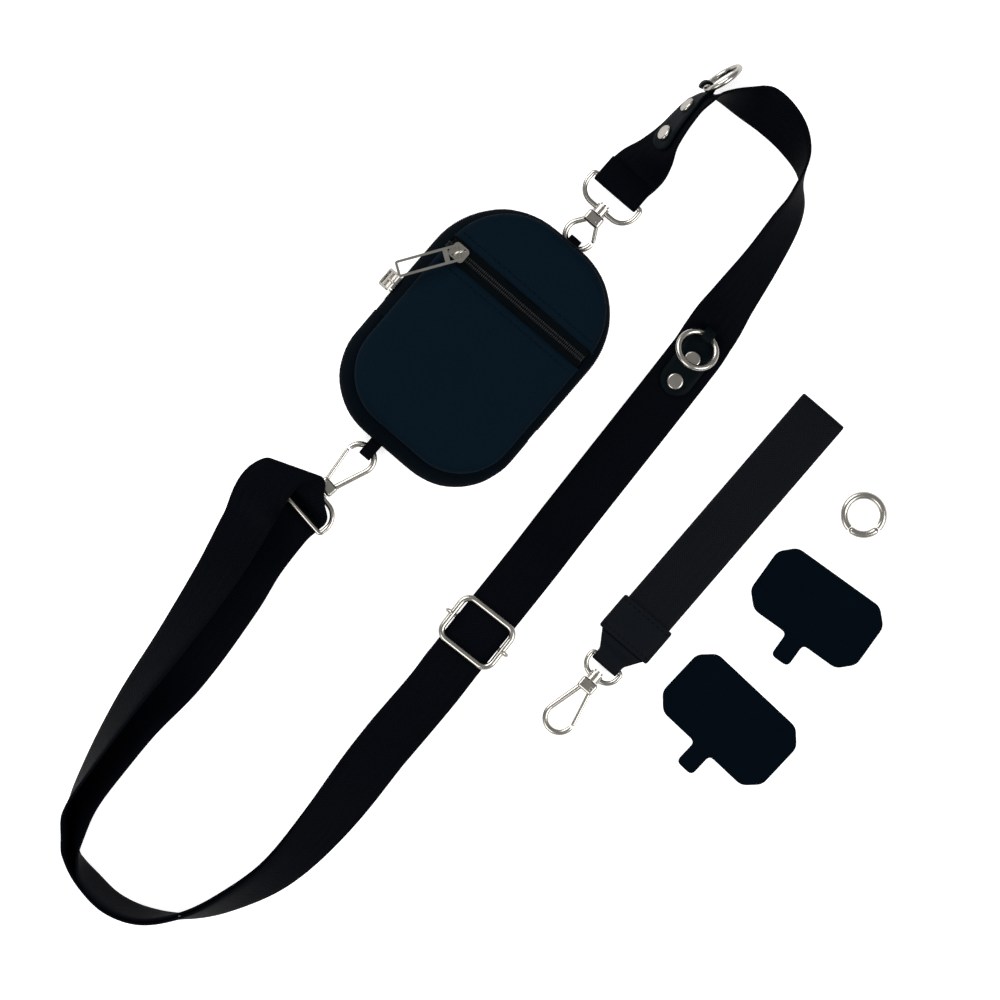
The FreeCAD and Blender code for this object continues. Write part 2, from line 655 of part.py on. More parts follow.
class Edge:
    """One cross line of the strap: its two edges, how far its face lies above that line and the stack's height."""

    def __init__(self, left, right, push, stack, normal=None):
        self.left = left
        self.right = right
        self.push = push
        self.stack = stack
        self.normal = normal

    def middle(self):
        """Middle of the cross line."""
        return (self.left + self.right) * 0.5

    def corners(self, along):
        """Low left, low right, high right and high left corners, lifted clear of the surface."""
        normal = self.normal or (self.right - self.left).cross(along).normalize()
        dip = min(0, self.left.z + normal.z * self.stack)
        low, high = normal * self.push - UP * dip, normal * (self.push + WEB_THICK) - UP * dip
        return [self.left + low, self.right + low, self.right + high, self.left + high]


def laid_edge(station, upper_layer):
    """Cross line from a station of the flat lay: full webbing width, leaning where it looks narrow."""
    left = place(station[0], LEVELS[station[2]])
    right = place(station[1], LEVELS[station[2]])
    flat = right - left
    stacked = station[2] == "stack"
    push = LAYER if stacked and upper_layer else 0
    stack = WEB_THICK + (LAYER if stacked else 0)
    flat_share = min(1, flat.Length / (WEB_PIXELS * MM_PER_PIXEL))
    half = flat.normalize() * (flat_share * WEB_WIDTH / 2)
    rise = UP * (WEB_WIDTH * math.sqrt(1 - flat_share ** 2))
    middle = (left + right) * 0.5
    return Edge(middle - half, middle + half + rise, push, stack)


def sections(edges):
    """Corner points of each cross section along a run."""
    middles = [edge.middle() for edge in edges]
    last = len(edges) - 1
    return [e.corners(middles[min(i + 1, last)] - middles[max(i - 1, 0)]) for i, e in enumerate(edges)]


def ribbon(corners):
    """Solid webbing through a run of cross sections."""
    wires = [Part.makePolygon(four + [four[0]]) for four in corners]
    return Part.makeLoft(wires, True, True)


def fold_edges():
    """Cross lines of the loose fold, from its upper layer down through the lower loop."""
    across = V(FOOT_ALONG.y, -FOOT_ALONG.x, 0) * (WEB_WIDTH / 2)
    edges = []
    for reach_share, height_share, side_share in FOLD_SHARES:
        middle = LOWER_BAR + FOOT_ALONG * (reach_share * LOOP_DEEP) + across * (2 * side_share)
        middle.z = height_share * HOOK_LEVEL
        edges.append(Edge(middle - across, middle + across, -WEB_THICK / 2, 0))
    return edges


def main_edges():
    """All cross lines of the strap from the upper hook to the lower strand."""
    start = V(UPPER_BAR.x, UPPER_BAR.y + SEWN_LENGTH, 0)
    half = V(WEB_WIDTH / 2, 0, 0)
    edges = [Edge(start - half, start + half, 0, 0, UP)]
    for table in (UPPER_RUN, TOP_BEND, LONG_RUN, GLIDE_RUN, LOWER_RUN, BOTTOM_BEND, OUTER_STRAND):
        edges += [laid_edge(station, True) for station in table]
    return edges + fold_edges()


def strap():
    """The long strap in its named runs."""
    corners = sections(main_edges())
    runs = (
        ("strap_upper_run", len(UPPER_RUN)), ("strap_top_bend", len(TOP_BEND)), ("strap_long_run", len(LONG_RUN)),
        ("strap_glide_run", len(GLIDE_RUN)), ("strap_lower_run", len(LOWER_RUN)),
        ("strap_bottom_bend", len(BOTTOM_BEND)), ("strap_outer_strand", len(OUTER_STRAND) + 1),
    )
    first = 0
    for name, count in runs:
        save(name, ribbon(corners[first:first + count + 1]))
        first += count
    save("strap_fold", ribbon(corners[first:]))
    save("strap_upper_end", sewn_end(UPPER_BAR, 0, WIRE_RADIUS, SEWN_LENGTH))
    return corners


def tail(fold_end):
    """Inner strand from the fold, round the bend under the outer one, to the adjuster."""
    edges = [laid_edge(station, False) for station in (TAIL_START,) + LOWER_RUN + BOTTOM_BEND + INNER_STRAND]
    corners = sections(edges + fold_edges()[-1:])
    corners[-1] = list(reversed(fold_end))
    bend = len(LOWER_RUN)
    last = bend + len(BOTTOM_BEND)
    save("strap_tail_run", ribbon(corners[:bend + 1]))
    save("strap_inner_bend", ribbon(corners[bend:last + 1]))
    save("strap_inner_strand", ribbon(corners[last:]))


def sewn_end(bar, turn, bar_radius, length):
    """Webbing folded round a bar and sewn to itself: its bar at the origin, its end along +Y on the surface."""
    outer = bar_radius + BAR_CLEAR + WEB_THICK
    points = [V(0, 0, outer), V(0, length, 2 * WEB_THICK - bar.z), V(0, length, -bar.z), V(0, 0, -outer)]
    wedge = Part.Face(Part.makePolygon(points + [points[0]])).extrude(V(WEB_WIDTH, 0, 0))
    across = V(WEB_WIDTH, 0, 0)
    round_end = rod(V(0, 0, 0), across, outer)
    bore = rod(V(-OVERRUN, 0, 0), V(WEB_WIDTH + OVERRUN, 0, 0), bar_radius + BAR_CLEAR)
    end = wedge.fuse(round_end).cut(bore).removeSplitter()
    end.translate(V(-WEB_WIDTH / 2, 0, 0))
    return moved(end, turn, UP, bar)


GLIDE_HALF = WEB_WIDTH / 2 + FIT_GAP * 2 + GLIDE_WIRE
GLIDE_WIRE_LEVEL = GLIDE_LEVEL + WEB_THICK + FIT_GAP + GLIDE_WIRE
RUN_TURN_DEG = math.degrees(math.atan2(place(RUN_SHARES, 0).x - place((0, 0), 0).x,
                                       place((0, 0), 0).y - place(RUN_SHARES, 0).y))


def adjuster():
    """Tri-glide: a wire frame over the webbing, a loose bar under it with ends curled round the side rails."""
    centre = place(GLIDE_PIXEL, 0)
    half = GLIDE_LENGTH / 2 - GLIDE_WIRE
    frame = wire_ring(rounded_wire(GLIDE_HALF, -half, half, GLIDE_ROUND, GLIDE_ROUND, GLIDE_WIRE_LEVEL), GLIDE_WIRE)
    save("glide_frame", moved(frame, RUN_TURN_DEG, UP, centre))
    reach = GLIDE_HALF + GLIDE_WIRE
    bar = rod(V(-reach, 0, TAIL_OUTER), V(reach, 0, TAIL_OUTER), GLIDE_BAR)
    for side in (-1, 1):
        curl = Part.makeTorus(GLIDE_WIRE + FIT_GAP + GLIDE_BAR, GLIDE_BAR, V(side * GLIDE_HALF, 0, GLIDE_WIRE_LEVEL),
                              V(0, 1, 0))
        ends = sorted((side * GLIDE_HALF, side * (GLIDE_HALF + reach)))
        curl = curl.common(box(V(ends[0], -reach, 0), V(ends[1], reach, reach)))
        outer = side * (GLIDE_HALF + GLIDE_WIRE)
        post = rod(V(outer, 0, TAIL_OUTER), V(outer, 0, GLIDE_WIRE_LEVEL - GLIDE_WIRE), GLIDE_BAR)
        bore = rod(V(side * GLIDE_HALF, -reach, GLIDE_WIRE_LEVEL), V(side * GLIDE_HALF, reach, GLIDE_WIRE_LEVEL),
                   GLIDE_WIRE + FIT_GAP)
        bar = bar.fuse(curl).fuse(post.cut(bore)).fuse(Part.makeSphere(GLIDE_BAR, V(outer, 0, TAIL_OUTER)))
    save("glide_bar", moved(bar.removeSplitter(), RUN_TURN_DEG, UP, centre))
    end = sewn_end(V(0, 0, TAIL_OUTER), 180, GLIDE_BAR, SEWN_LENGTH)
    save("strap_tail_end", moved(end, RUN_TURN_DEG, UP, centre))


def blended(corners, index):
    """Cross section of the strap at a fractional station."""
    first = min(int(index), len(corners) - 2)
    part = index - first
    return [p + (q - p) * part for p, q in zip(corners[first], corners[first + 1])]


def face_place(corners, index, across_share, height):
    """Point over the strap's upper face at a station, with the face's normal and its across direction."""
    four = blended(corners, index)
    across = four[2] - four[3]
    normal = (four[3] - four[0]).normalize()
    return four[3] + across * across_share + normal * height, normal, across.normalize()


class Tab:
    """Leather tab riveted on the strap, with a fold at its far end that holds a ring."""

    def __init__(self, name, corners, stations, rivet_stations, ring_lean):
        self.name = name
        self.corners = corners
        self.start, self.end = stations
        self.rivet_stations = rivet_stations
        self.ring_lean = ring_lean

    def leather(self):
        """Strip that follows the strap's face, with the ring's fold."""
        half_share = TAB_WIDTH / WEB_WIDTH / 2
        wires = []
        low, high = min(self.start, self.end), max(self.start, self.end)
        between = [i for i in range(len(self.corners)) if low < i < high]
        for stop in [low] + between + [high]:
            left, normal, _ = face_place(self.corners, stop, 0.5 - half_share, BAR_CLEAR)
            right, _, _ = face_place(self.corners, stop, 0.5 + half_share, BAR_CLEAR)
            thick = normal * TAB_THICK
            wires.append(Part.makePolygon([left, right, right + thick, left + thick, left]))
        strip = Part.makeLoft(wires, True, True)
        middle, across = self.ring_seat()
        reach = across * (TAB_FOLD_WIDTH / 2)
        tube = rod(middle - reach, middle + reach, TAB_FOLD_RADIUS)
        bore = rod(middle - reach * 2, middle + reach * 2, RING_WIRE + TAB_FOLD_PLAY)
        return strip.fuse(tube).cut(bore).removeSplitter()

    def ring_seat(self):
        """Middle of the fold and the direction of its bore."""
        middle, _, across = face_place(self.corners, self.end, 0.5, BAR_CLEAR + TAB_FOLD_RADIUS)
        return middle, across

    def rivets(self):
        """Two domed rivet heads on the leather."""
        heads = []
        for station in self.rivet_stations:
            seat, normal, _ = face_place(self.corners, station, 0.5, BAR_CLEAR + TAB_THICK + BAR_CLEAR)
            head = Part.makeCylinder(RIVET_RADIUS, RIVET_THICK, seat, normal)
            rim = [e for e in head.Edges if e.Closed and (e.CenterOfMass - seat).Length > RIVET_THICK / 2]
            heads.append(head.makeFillet(RIVET_THICK * 0.7, rim))
        return Part.makeCompound(heads)

    def ring(self):
        """Round wire ring through the fold, leaning from the tab's own direction."""
        middle, across = self.ring_seat()
        ahead, normal, _ = face_place(self.corners, self.end, 0.5, 0)
        near_end = self.start + (self.end - self.start) * NEAR_END_SHARE
        behind, _, _ = face_place(self.corners, near_end, 0.5, 0)
        along = ahead - behind
        along = (along - across * along.dot(across)).normalize()
        lean = math.radians(self.ring_lean)
        reach = (along * math.cos(lean) + normal * math.sin(lean)).normalize()
        centre = middle + reach * RING_RADIUS
        print(self.name, "ring pivot", tuple(middle), "axis", tuple(across))
        return Part.makeTorus(RING_RADIUS, RING_WIRE, centre, across.cross(reach))

    def build(self):
        """Save leather, rivets and ring."""
        save(self.name + "_tab", self.leather())
        save(self.name + "_tab_rivets", self.rivets())
        save(self.name + "_ring", self.ring())


def tabs(corners):
    """Upper tab on the leaning strap, lower tab on the flat run with its ring flopped back."""
    Tab("upper", corners, UPPER_TAB_STATIONS, UPPER_RIVET_STATIONS, UPPER_RING_LEAN_DEG).build()
    Tab("lower", corners, LOWER_TAB_STATIONS, LOWER_RIVET_STATIONS, LOWER_RING_LEAN_DEG).build()


WRIST_BASE = SLEEVE_THICK + BAR_CLEAR
WRIST_HIGH = WRIST_BASE + 2 * WEB_THICK + WRIST_GAP


def wrist_strap():
    """Wrist strap: flat webbing loop, sleeve, tapered sewn end and a small swivel hook."""
    middle = place(WRIST_PIXEL, 0)
    top = middle.y + WRIST_LENGTH / 2
    foot = middle.y - WRIST_LENGTH / 2 - SLEEVE_LENGTH
    half = WEB_WIDTH / 2
    bend = (WRIST_HIGH - WRIST_BASE) / 2
    level = (WRIST_HIGH + WRIST_BASE) / 2

    def flat_loop(inset, low):
        radius = bend - inset
        points = [V(0, low, radius), V(0, top - bend, radius), V(0, top - inset, 0), V(0, top - bend, -radius)]
        points += [V(0, low, -radius)]
        edges = [Part.makeLine(points[0], points[1]), Part.Arc(*points[1:4]).toShape()]
        edges += [Part.makeLine(points[3], points[4]), Part.makeLine(points[4], points[0])]
        return Part.Face(Part.Wire(edges)).extrude(V(WEB_WIDTH, 0, 0))

    loop = flat_loop(0, foot).cut(flat_loop(WEB_THICK, foot + SLEEVE_LENGTH))
    loop.translate(V(middle.x - half, 0, level))
    save("wristlet_webbing", loop)
    side = WEB_WIDTH / 2 + SLEEVE_THICK + SLEEVE_PLAY / 2
    sleeve = box(V(-side, foot, 0), V(side, foot + SLEEVE_LENGTH, WRIST_HIGH + WRIST_BASE))
    core_half = half + BAR_CLEAR
    core = box(V(-core_half, foot, SLEEVE_THICK), V(core_half, foot + SLEEVE_LENGTH, WRIST_HIGH + BAR_CLEAR))
    sleeve = sleeve.makeFillet(SLEEVE_THICK, [e for e in sleeve.Edges if abs(e.tangentAt(0).y) > 0.5])
    save("wristlet_sleeve", moved(sleeve.cut(core), 0, UP, V(middle.x, 0, 0)))
    bar = V(middle.x, foot - WRIST_TIP_LENGTH, WRIST_HOOK_LEVEL)
    tip = sewn_end(bar, 0, WIRE_RADIUS, WRIST_TIP_LENGTH)
    narrow = WRIST_LOOP_INNER_WIDTH / 2 - FIT_GAP
    end = WIRE_RADIUS + BAR_CLEAR + WEB_THICK
    taper = [V(-half, WRIST_TIP_LENGTH, 0), V(-narrow, end, 0), V(-narrow, -end, 0)]
    taper += [V(narrow, -end, 0), V(narrow, end, 0), V(half, WRIST_TIP_LENGTH, 0)]
    shear = Part.Face(Part.makePolygon(taper + [taper[0]])).extrude(V(0, 0, 2 * WRIST_HIGH))
    save("wristlet_tip", tip.common(moved(shear, 0, UP, V(bar.x, bar.y, 0))))
    snap_hook("wristlet_hook", WRIST_LOOP_INNER_WIDTH, WRIST_LOOP_DEEP, HOOK_ARM_LENGTH, 180, bar)


def key_ring():
    """Spring gate ring: a round wire with a gap, closed by a gate that swings inwards."""
    centre = place(KEY_RING_PIXEL, KEY_RING_WIRE)
    end_turn = math.degrees((KEY_RING_WIRE + FIT_GAP) / KEY_RING_RADIUS)
    sweep = 360 - KEY_GATE_TURN_DEG - 2 * end_turn
    body = Part.makeTorus(KEY_RING_RADIUS, KEY_RING_WIRE, V(0, 0, 0), UP, 0, 360, sweep)
    body.rotate(V(0, 0, 0), UP, KEY_GATE_TURN_DEG + end_turn)
    half_turn = KEY_GATE_TURN_DEG / 2
    chord = 2 * KEY_RING_RADIUS * math.sin(math.radians(half_turn))
    swing = Part.makeTorus(chord, KEY_RING_WIRE + FIT_GAP, V(0, 0, 0), UP, 0, 360, KEY_GATE_OPEN_DEG + end_turn)
    tip_turn = 90 + half_turn
    body = body.cut(moved(swing, tip_turn, UP, V(KEY_RING_RADIUS, 0, 0)))
    save("key_ring_body", moved(body, KEY_GATE_START_DEG, UP, centre))
    gate = Part.makeTorus(KEY_RING_RADIUS, KEY_RING_WIRE, V(0, 0, 0), UP, 0, 360, KEY_GATE_TURN_DEG)
    for turn in (0, KEY_GATE_TURN_DEG):
        at = math.radians(turn)
        tip = V(KEY_RING_RADIUS * math.cos(at), KEY_RING_RADIUS * math.sin(at), 0)
        gate = gate.fuse(Part.makeSphere(KEY_RING_WIRE, tip))
    save("key_ring_gate", moved(gate.removeSplitter(), KEY_GATE_START_DEG, UP, centre))
    start = math.radians(KEY_GATE_START_DEG)
    print("key ring pivot", tuple(centre + V(math.cos(start), math.sin(start), 0) * KEY_RING_RADIUS))


def phone_pad(name, pixel, turn):
    """Thin tether pad: a plate with cut corners and a tab with a ring hole."""
    half, side = PAD_LENGTH / 2, PAD_WIDTH / 2
    near, low = half - PAD_CHAMFER, side - PAD_CHAMFER
    tab, tip = PAD_TAB_WIDTH / 2, -side - PAD_TAB_LENGTH
    right = [V(tab, tip, 0), V(tab, -side, 0), V(near, -side, 0), V(half, -low, 0), V(half, low, 0), V(near, side, 0)]
    left = [V(-p.x, p.y, 0) for p in reversed(right)]
    plate = Part.Face(Part.makePolygon(right + left + [right[0]])).extrude(V(0, 0, PAD_THICK))
    hole = rod(V(0, tip + PAD_TAB_WIDTH / 2, -OVERRUN), V(0, tip + PAD_TAB_WIDTH / 2, OVERRUN), PAD_HOLE_RADIUS)
    save(name, moved(plate.cut(hole), turn, UP, place(pixel, 0)))


def main():
    """Build every piece."""
    os.makedirs("parts", exist_ok=True)
    pouch_shell()
    main_zip()
    front_zip()
    sliders_and_pulls()
    pouch_hooks()
    corners = strap()
    tail(corners[-1])
    adjuster()
    tabs(corners)
    wrist_strap()
    key_ring()
    phone_pad("phone_pad_upper", UPPER_PAD_PIXEL, UPPER_PAD_TURN_DEG)
    phone_pad("phone_pad_lower", LOWER_PAD_PIXEL, LOWER_PAD_TURN_DEG)


main()
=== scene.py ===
"""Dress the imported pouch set: cloth shell, zips, webbing, leather tabs, wrist strap, pads and nickel hardware."""

import json
import logging
import math
from dataclasses import dataclass
from enum import Enum
from typing import Iterable, Sequence

import bmesh
import bpy
from mathutils import Matrix, Vector, noise

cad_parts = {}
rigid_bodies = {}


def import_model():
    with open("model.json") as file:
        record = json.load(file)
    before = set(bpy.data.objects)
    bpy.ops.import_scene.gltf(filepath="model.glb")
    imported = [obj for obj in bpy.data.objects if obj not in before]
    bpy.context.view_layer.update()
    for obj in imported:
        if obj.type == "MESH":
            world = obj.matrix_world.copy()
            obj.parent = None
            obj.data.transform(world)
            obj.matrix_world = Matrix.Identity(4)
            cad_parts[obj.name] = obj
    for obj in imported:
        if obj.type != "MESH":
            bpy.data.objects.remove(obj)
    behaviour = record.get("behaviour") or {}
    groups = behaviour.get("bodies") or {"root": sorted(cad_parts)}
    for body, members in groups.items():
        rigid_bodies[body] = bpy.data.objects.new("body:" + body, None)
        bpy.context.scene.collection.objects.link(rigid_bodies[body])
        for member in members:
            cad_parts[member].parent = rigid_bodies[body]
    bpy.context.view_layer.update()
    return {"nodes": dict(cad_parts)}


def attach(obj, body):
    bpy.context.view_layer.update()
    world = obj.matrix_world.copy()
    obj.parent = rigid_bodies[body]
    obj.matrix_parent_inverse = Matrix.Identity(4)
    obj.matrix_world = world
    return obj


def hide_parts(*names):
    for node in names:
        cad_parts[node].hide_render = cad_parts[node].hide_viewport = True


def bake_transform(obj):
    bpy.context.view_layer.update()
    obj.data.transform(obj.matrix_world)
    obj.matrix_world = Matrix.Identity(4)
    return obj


LOG = logging.getLogger("pouch")
MM = 0.001
UP = Vector((0.0, 0.0, 1.0))
EAST = Vector((1.0, 0.0, 0.0))
NORTH = Vector((0.0, 1.0, 0.0))
Colour = tuple[float, ...]
Pair = tuple[float, float]
Feeds = dict[str | int, object]
Piece = bpy.types.Object
Socket = bpy.types.NodeSocket
Node = bpy.types.Node
Tree = bpy.types.NodeTree
Material = bpy.types.Material


class Coords(Enum):
    """Where a pattern takes its coordinates from."""

    OBJECT = "Object"
    UV = "UV"


class Weave(Enum):
    """How the threads of a cloth cross."""

    PLAIN = "plain"
    RIBBED = "ribbed"
    TWILL = "twill"


class Rest(Enum):
    """What a stretch of the strap lies on."""

    FLOOR = "floor"
    STACK = "stack"
    GLIDE = "glide"
    OVER = "over"


@dataclass(frozen=True)
class ClothFinish:
    """A woven finish: its dye, thread size and surface. Webbing weaves follow the band, plain ones the object."""

    name: str
    dye: Colour
    thread: float
    contrast: float
    relief: float
    roughness: float
    gloss: float
    weave: Weave = Weave.PLAIN
    sheen: float = 0.0


@dataclass(frozen=True)
class GrainFinish:
    """A grained finish for leather and coated sheet."""

    name: str
    dye: Colour
    grain: float
    relief: float
    roughness: float
    gloss: float


@dataclass(frozen=True)
class MetalFinish:
    """A plated finish with smudges and fine scratches."""

    name: str
    dye: Colour
    roughness: float
    smudge: float
    relief: float


def srgb(*screen: int) -> Colour:
    """Linear colour of an 8-bit screen colour.

    Args:
        screen: Red, green and blue, 0 to 255.

    Returns:
        The linear colour.
    """
    shares = [value / 255 for value in screen]
    return tuple(s / 12.92 if s <= 0.04045 else ((s + 0.055) / 1.055) ** 2.4 for s in shares)


class NodeSheet:
    """Places, sets and links nodes in one tree."""

    COLUMNS = 9
    CELL = (180, -220)

    def __init__(self, tree: Tree) -> None:
        """Start on a tree.

        Args:
            tree: The shader or geometry tree to fill.
        """
        self.tree = tree

    def feed(self, node: Node, feeds: Feeds) -> None:
        """Link or set a node's inputs.

        Args:
            node: The node.
            feeds: A socket or a value for each input, by name or place.
        """
        for key, value in feeds.items():
            if isinstance(value, Socket):
                self.tree.links.new(value, node.inputs[key])
            else:
                node.inputs[key].default_value = value

    def node(self, kind: str, feeds: Feeds | None = None, **settings: object) -> Node:
        """Add a node.

        Args:
            kind: The node's type name.
            feeds: A socket or a value for each input that takes one.
            settings: Properties to set on it.

        Returns:
            The new node.
        """
        row, column = divmod(len(self.tree.nodes), self.COLUMNS)
        made = self.tree.nodes.new(kind)
        made.location = (column * self.CELL[0], row * self.CELL[1])
        for name, value in settings.items():
            setattr(made, name, value)
        self.feed(made, feeds or {})
        return made

    def math(self, operation: str, *terms: object) -> Socket:
        """Add a math node.

        Args:
            operation: The operation's name.
            terms: A socket or a number for each input.

        Returns:
            The result's socket.
        """
        return self.node("ShaderNodeMath", dict(enumerate(terms)), operation=operation).outputs[0]

    def noise(self, vector: Socket, scale: float, detail: float, rough: float = 0.55) -> Socket:
        """Add a noise texture.

        Args:
            vector: Its coordinates.
            scale: Its scale.
            detail: Its octaves.
            rough: Its roughness.

        Returns:
            The noise value's socket.
        """
        feeds = {"Vector": vector, "Scale": scale, "Detail": detail, "Roughness": rough}
        return self.node("ShaderNodeTexNoise", feeds).outputs[0]

    def scaled(self, dye: Socket, level: Socket) -> Socket:
        """Scale a colour.

        Args:
            dye: The colour's socket.
            level: The brightness.

        Returns:
            The scaled colour's socket.
        """
        return self.node("ShaderNodeVectorMath", {0: dye, "Scale": level}, operation="SCALE").outputs[0]

    def shade(self, dye: Socket, factor: Socket, low: float, high: float) -> Socket:
        """Scale a colour between two brightness levels.

        Args:
            dye: The colour's socket.
            factor: The mask from 0 to 1.
            low: Brightness where the mask is 0.
            high: Brightness where the mask is 1.

        Returns:
            The shaded colour's socket.
        """
        level = self.node("ShaderNodeMapRange", {"Value": factor, "To Min": low, "To Max": high})
        return self.scaled(dye, level.outputs[0])


class ShaderGroups:
    """The patterns that several finishes share, each one node group with the same outputs."""

    BLOTCH = 0.25
    CLOTH_ROUGH = 0.14
    GRAIN_ROUGH = 0.2
    HAIRLINES = (2600.0, 260.0, 700.0)

    def __init__(self) -> None:
        """Build every group once."""
        self.weaves = {kind: self._weave(kind) for kind in Weave}
        self.grain = self._grain()
        self.wear = self._wear()

    @staticmethod
    def _group(name: str, *numbers: str) -> tuple[NodeSheet, bpy.types.NodeOutputs, Node]:
        """Open a group with coordinates, a dye, a roughness and some numbers.

        Args:
            name: The group's name.
            numbers: Names of its further inputs.

        Returns:
            The sheet, its inputs' sockets and its output node.
        """
        tree = bpy.data.node_groups.new(name, "ShaderNodeTree")
        takes = {"Vector": "Vector", "Dye": "Color", "Roughness": "Float"} | dict.fromkeys(numbers, "Float")
        gives = {"Color": "Color", "Roughness": "Float", "Height": "Float"}
        for way, sockets in (("INPUT", takes), ("OUTPUT", gives)):
            for label, kind in sockets.items():
                tree.interface.new_socket(name=label, in_out=way, socket_type="NodeSocket" + kind)
        sheet = NodeSheet(tree)
        return sheet, sheet.node("NodeGroupInput").outputs, sheet.node("NodeGroupOutput")

    def _weave(self, kind: Weave) -> Tree:
        """Build a weave: threads, slow colour drift and a height.

        Args:
            kind: How the threads cross.

        Returns:
            The node group.
        """
        sheet, given, result = self._group(kind.value + "_weave", "Threads", "Contrast")
        calc = sheet.math
        parts = sheet.node("ShaderNodeSeparateXYZ", {0: given["Vector"]}).outputs
        turn = calc("MULTIPLY", given["Threads"], math.pi)
        across, along, rise = (calc("MULTIPLY", part, turn) for part in parts)
        if kind is Weave.PLAIN:
            lean = calc("MULTIPLY", rise, 0.7)
            warp, weft = calc("ADD", across, lean), calc("SUBTRACT", along, lean)
            crossing = calc("MULTIPLY", calc("SINE", warp), calc("SINE", weft))
        elif kind is Weave.RIBBED:
            rib = calc("SINE", calc("MULTIPLY", along, 0.5))
            crossing = calc("MULTIPLY_ADD", calc("SINE", across), 0.25, calc("MULTIPLY", rib, 0.75))
        else:
            fold = calc("PINGPONG", across, math.pi * 3)
            crossing = calc("SINE", calc("ADD", fold, along))
        threads = calc("MULTIPLY_ADD", crossing, 0.5, 0.5)
        drift = calc("SUBTRACT", sheet.noise(given["Vector"], 38.0, 4.0), 0.5)
        fuzz = sheet.noise(given["Vector"], 900.0, 2.0)
        level = calc("MULTIPLY_ADD", threads, given["Contrast"], calc("SUBTRACT", 1.0, given["Contrast"]))
        drifted = calc("MULTIPLY", level, calc("MULTIPLY_ADD", drift, self.BLOTCH, 1.0))
        bright = calc("MULTIPLY", drifted, calc("MULTIPLY_ADD", fuzz, 0.3, 0.85))
        sheet.feed(result, {"Color": sheet.scaled(given["Dye"], bright),
                            "Roughness": calc("MULTIPLY_ADD", drift, self.CLOTH_ROUGH, given["Roughness"]),
                            "Height": calc("MULTIPLY_ADD", fuzz, 0.35, threads)})
        return sheet.tree

    def _grain(self) -> Tree:
        """Build a pebbled grain with creases.

        Returns:
            The node group.
        """
        sheet, given, result = self._group("pebbled_grain", "Grain")
        feeds = {"Vector": given["Vector"], "Scale": given["Grain"]}
        cells = sheet.node("ShaderNodeTexVoronoi", feeds, feature="F1")
        drift = sheet.noise(given["Vector"], 60.0, 5.0)
        pebble = sheet.math("SUBTRACT", 1.0, cells.outputs["Distance"])
        mixed = sheet.math("MULTIPLY_ADD", drift, 0.5, sheet.math("MULTIPLY", pebble, 0.5))
        spread = sheet.math("SUBTRACT", drift, 0.5)
        sheet.feed(result, {"Color": sheet.shade(given["Dye"], mixed, 0.72, 1.3), "Height": pebble,
                            "Roughness": sheet.math("MULTIPLY_ADD", spread, self.GRAIN_ROUGH, given["Roughness"])})
        return sheet.tree

    def _wear(self) -> Tree:
        """Build smudges and hairline scratches for plated metal.

        Returns:
            The node group.
        """
        sheet, given, result = self._group("handled_plate", "Smudge")
        smudge = sheet.noise(given["Vector"], 170.0, 4.0)
        stretch = sheet.node("ShaderNodeMapping", {"Vector": given["Vector"], "Scale": self.HAIRLINES})
        sheet.feed(result, {"Color": sheet.shade(given["Dye"], smudge, 0.86, 1.08),
                            "Roughness": sheet.math("MULTIPLY_ADD", smudge, given["Smudge"], given["Roughness"]),
                            "Height": sheet.noise(stretch.outputs[0], 1.0, 2.0, 0.7)})
        return sheet.tree


class FinishRack:
    """Makes each finish's material once."""

    BUMP = 0.8
    SHEEN_ROUGH = 0.4

    def __init__(self) -> None:
        """Build the shared groups."""
        self.groups = ShaderGroups()
        self.made: dict[str, Material] = {}

    def _material(self, finish: ClothFinish | GrainFinish | MetalFinish, group: Tree, numbers: Feeds,
                  shine: Feeds, coords: Coords = Coords.OBJECT) -> Material:
        """Material of a finish, made at its first use.

        Args:
            finish: The finish.
            group: The node group of its pattern.
            numbers: The pattern's own inputs.
            shine: Further inputs of the surface shader.
            coords: Where its pattern's coordinates come from.

        Returns:
            The material.
        """
        if finish.name in self.made:
            return self.made[finish.name]
        material = self.made[finish.name] = bpy.data.materials.new(finish.name)
        material.use_nodes = True
        sheet = NodeSheet(material.node_tree)
        where = sheet.node("ShaderNodeTexCoord").outputs[coords.value]
        feeds = {"Vector": where, "Dye": (*finish.dye, 1.0), "Roughness": finish.roughness} | numbers
        pattern = sheet.node("ShaderNodeGroup", feeds, node_tree=group).outputs
        bump = sheet.node("ShaderNodeBump", {"Strength": self.BUMP, "Distance": finish.relief,
                                             "Height": pattern["Height"]})
        sheet.feed(material.node_tree.nodes["Principled BSDF"], {
            "Base Color": pattern["Color"], "Roughness": pattern["Roughness"], "Normal": bump.outputs[0]} | shine)
        return material

    def cloth(self, finish: ClothFinish) -> Material:
        """Material of a woven finish.

        Args:
            finish: The finish.

        Returns:
            The material.
        """
        shine = {"Sheen Weight": finish.sheen, "Sheen Roughness": self.SHEEN_ROUGH,
                 "Sheen Tint": (*[min(1.0, 3 * c + 0.02) for c in finish.dye], 1.0),
                 "Specular IOR Level": finish.gloss}
        numbers = {"Threads": 1.0 / finish.thread, "Contrast": finish.contrast}
        coords = Coords.OBJECT if finish.weave is Weave.PLAIN else Coords.UV
        return self._material(finish, self.groups.weaves[finish.weave], numbers, shine, coords)

    def grained(self, finish: GrainFinish) -> Material:
        """Material of a grained finish.

        Args:
            finish: The finish.

        Returns:
            The material.
        """
        return self._material(finish, self.groups.grain, {"Grain": 1.0 / finish.grain},
                              {"Specular IOR Level": finish.gloss})

    def metal(self, finish: MetalFinish) -> Material:
        """Material of a plated finish.

        Args:
            finish: The finish.

        Returns:
            The material.
        """
        return self._material(finish, self.groups.wear, {"Smudge": finish.smudge}, {"Metallic": 1.0})


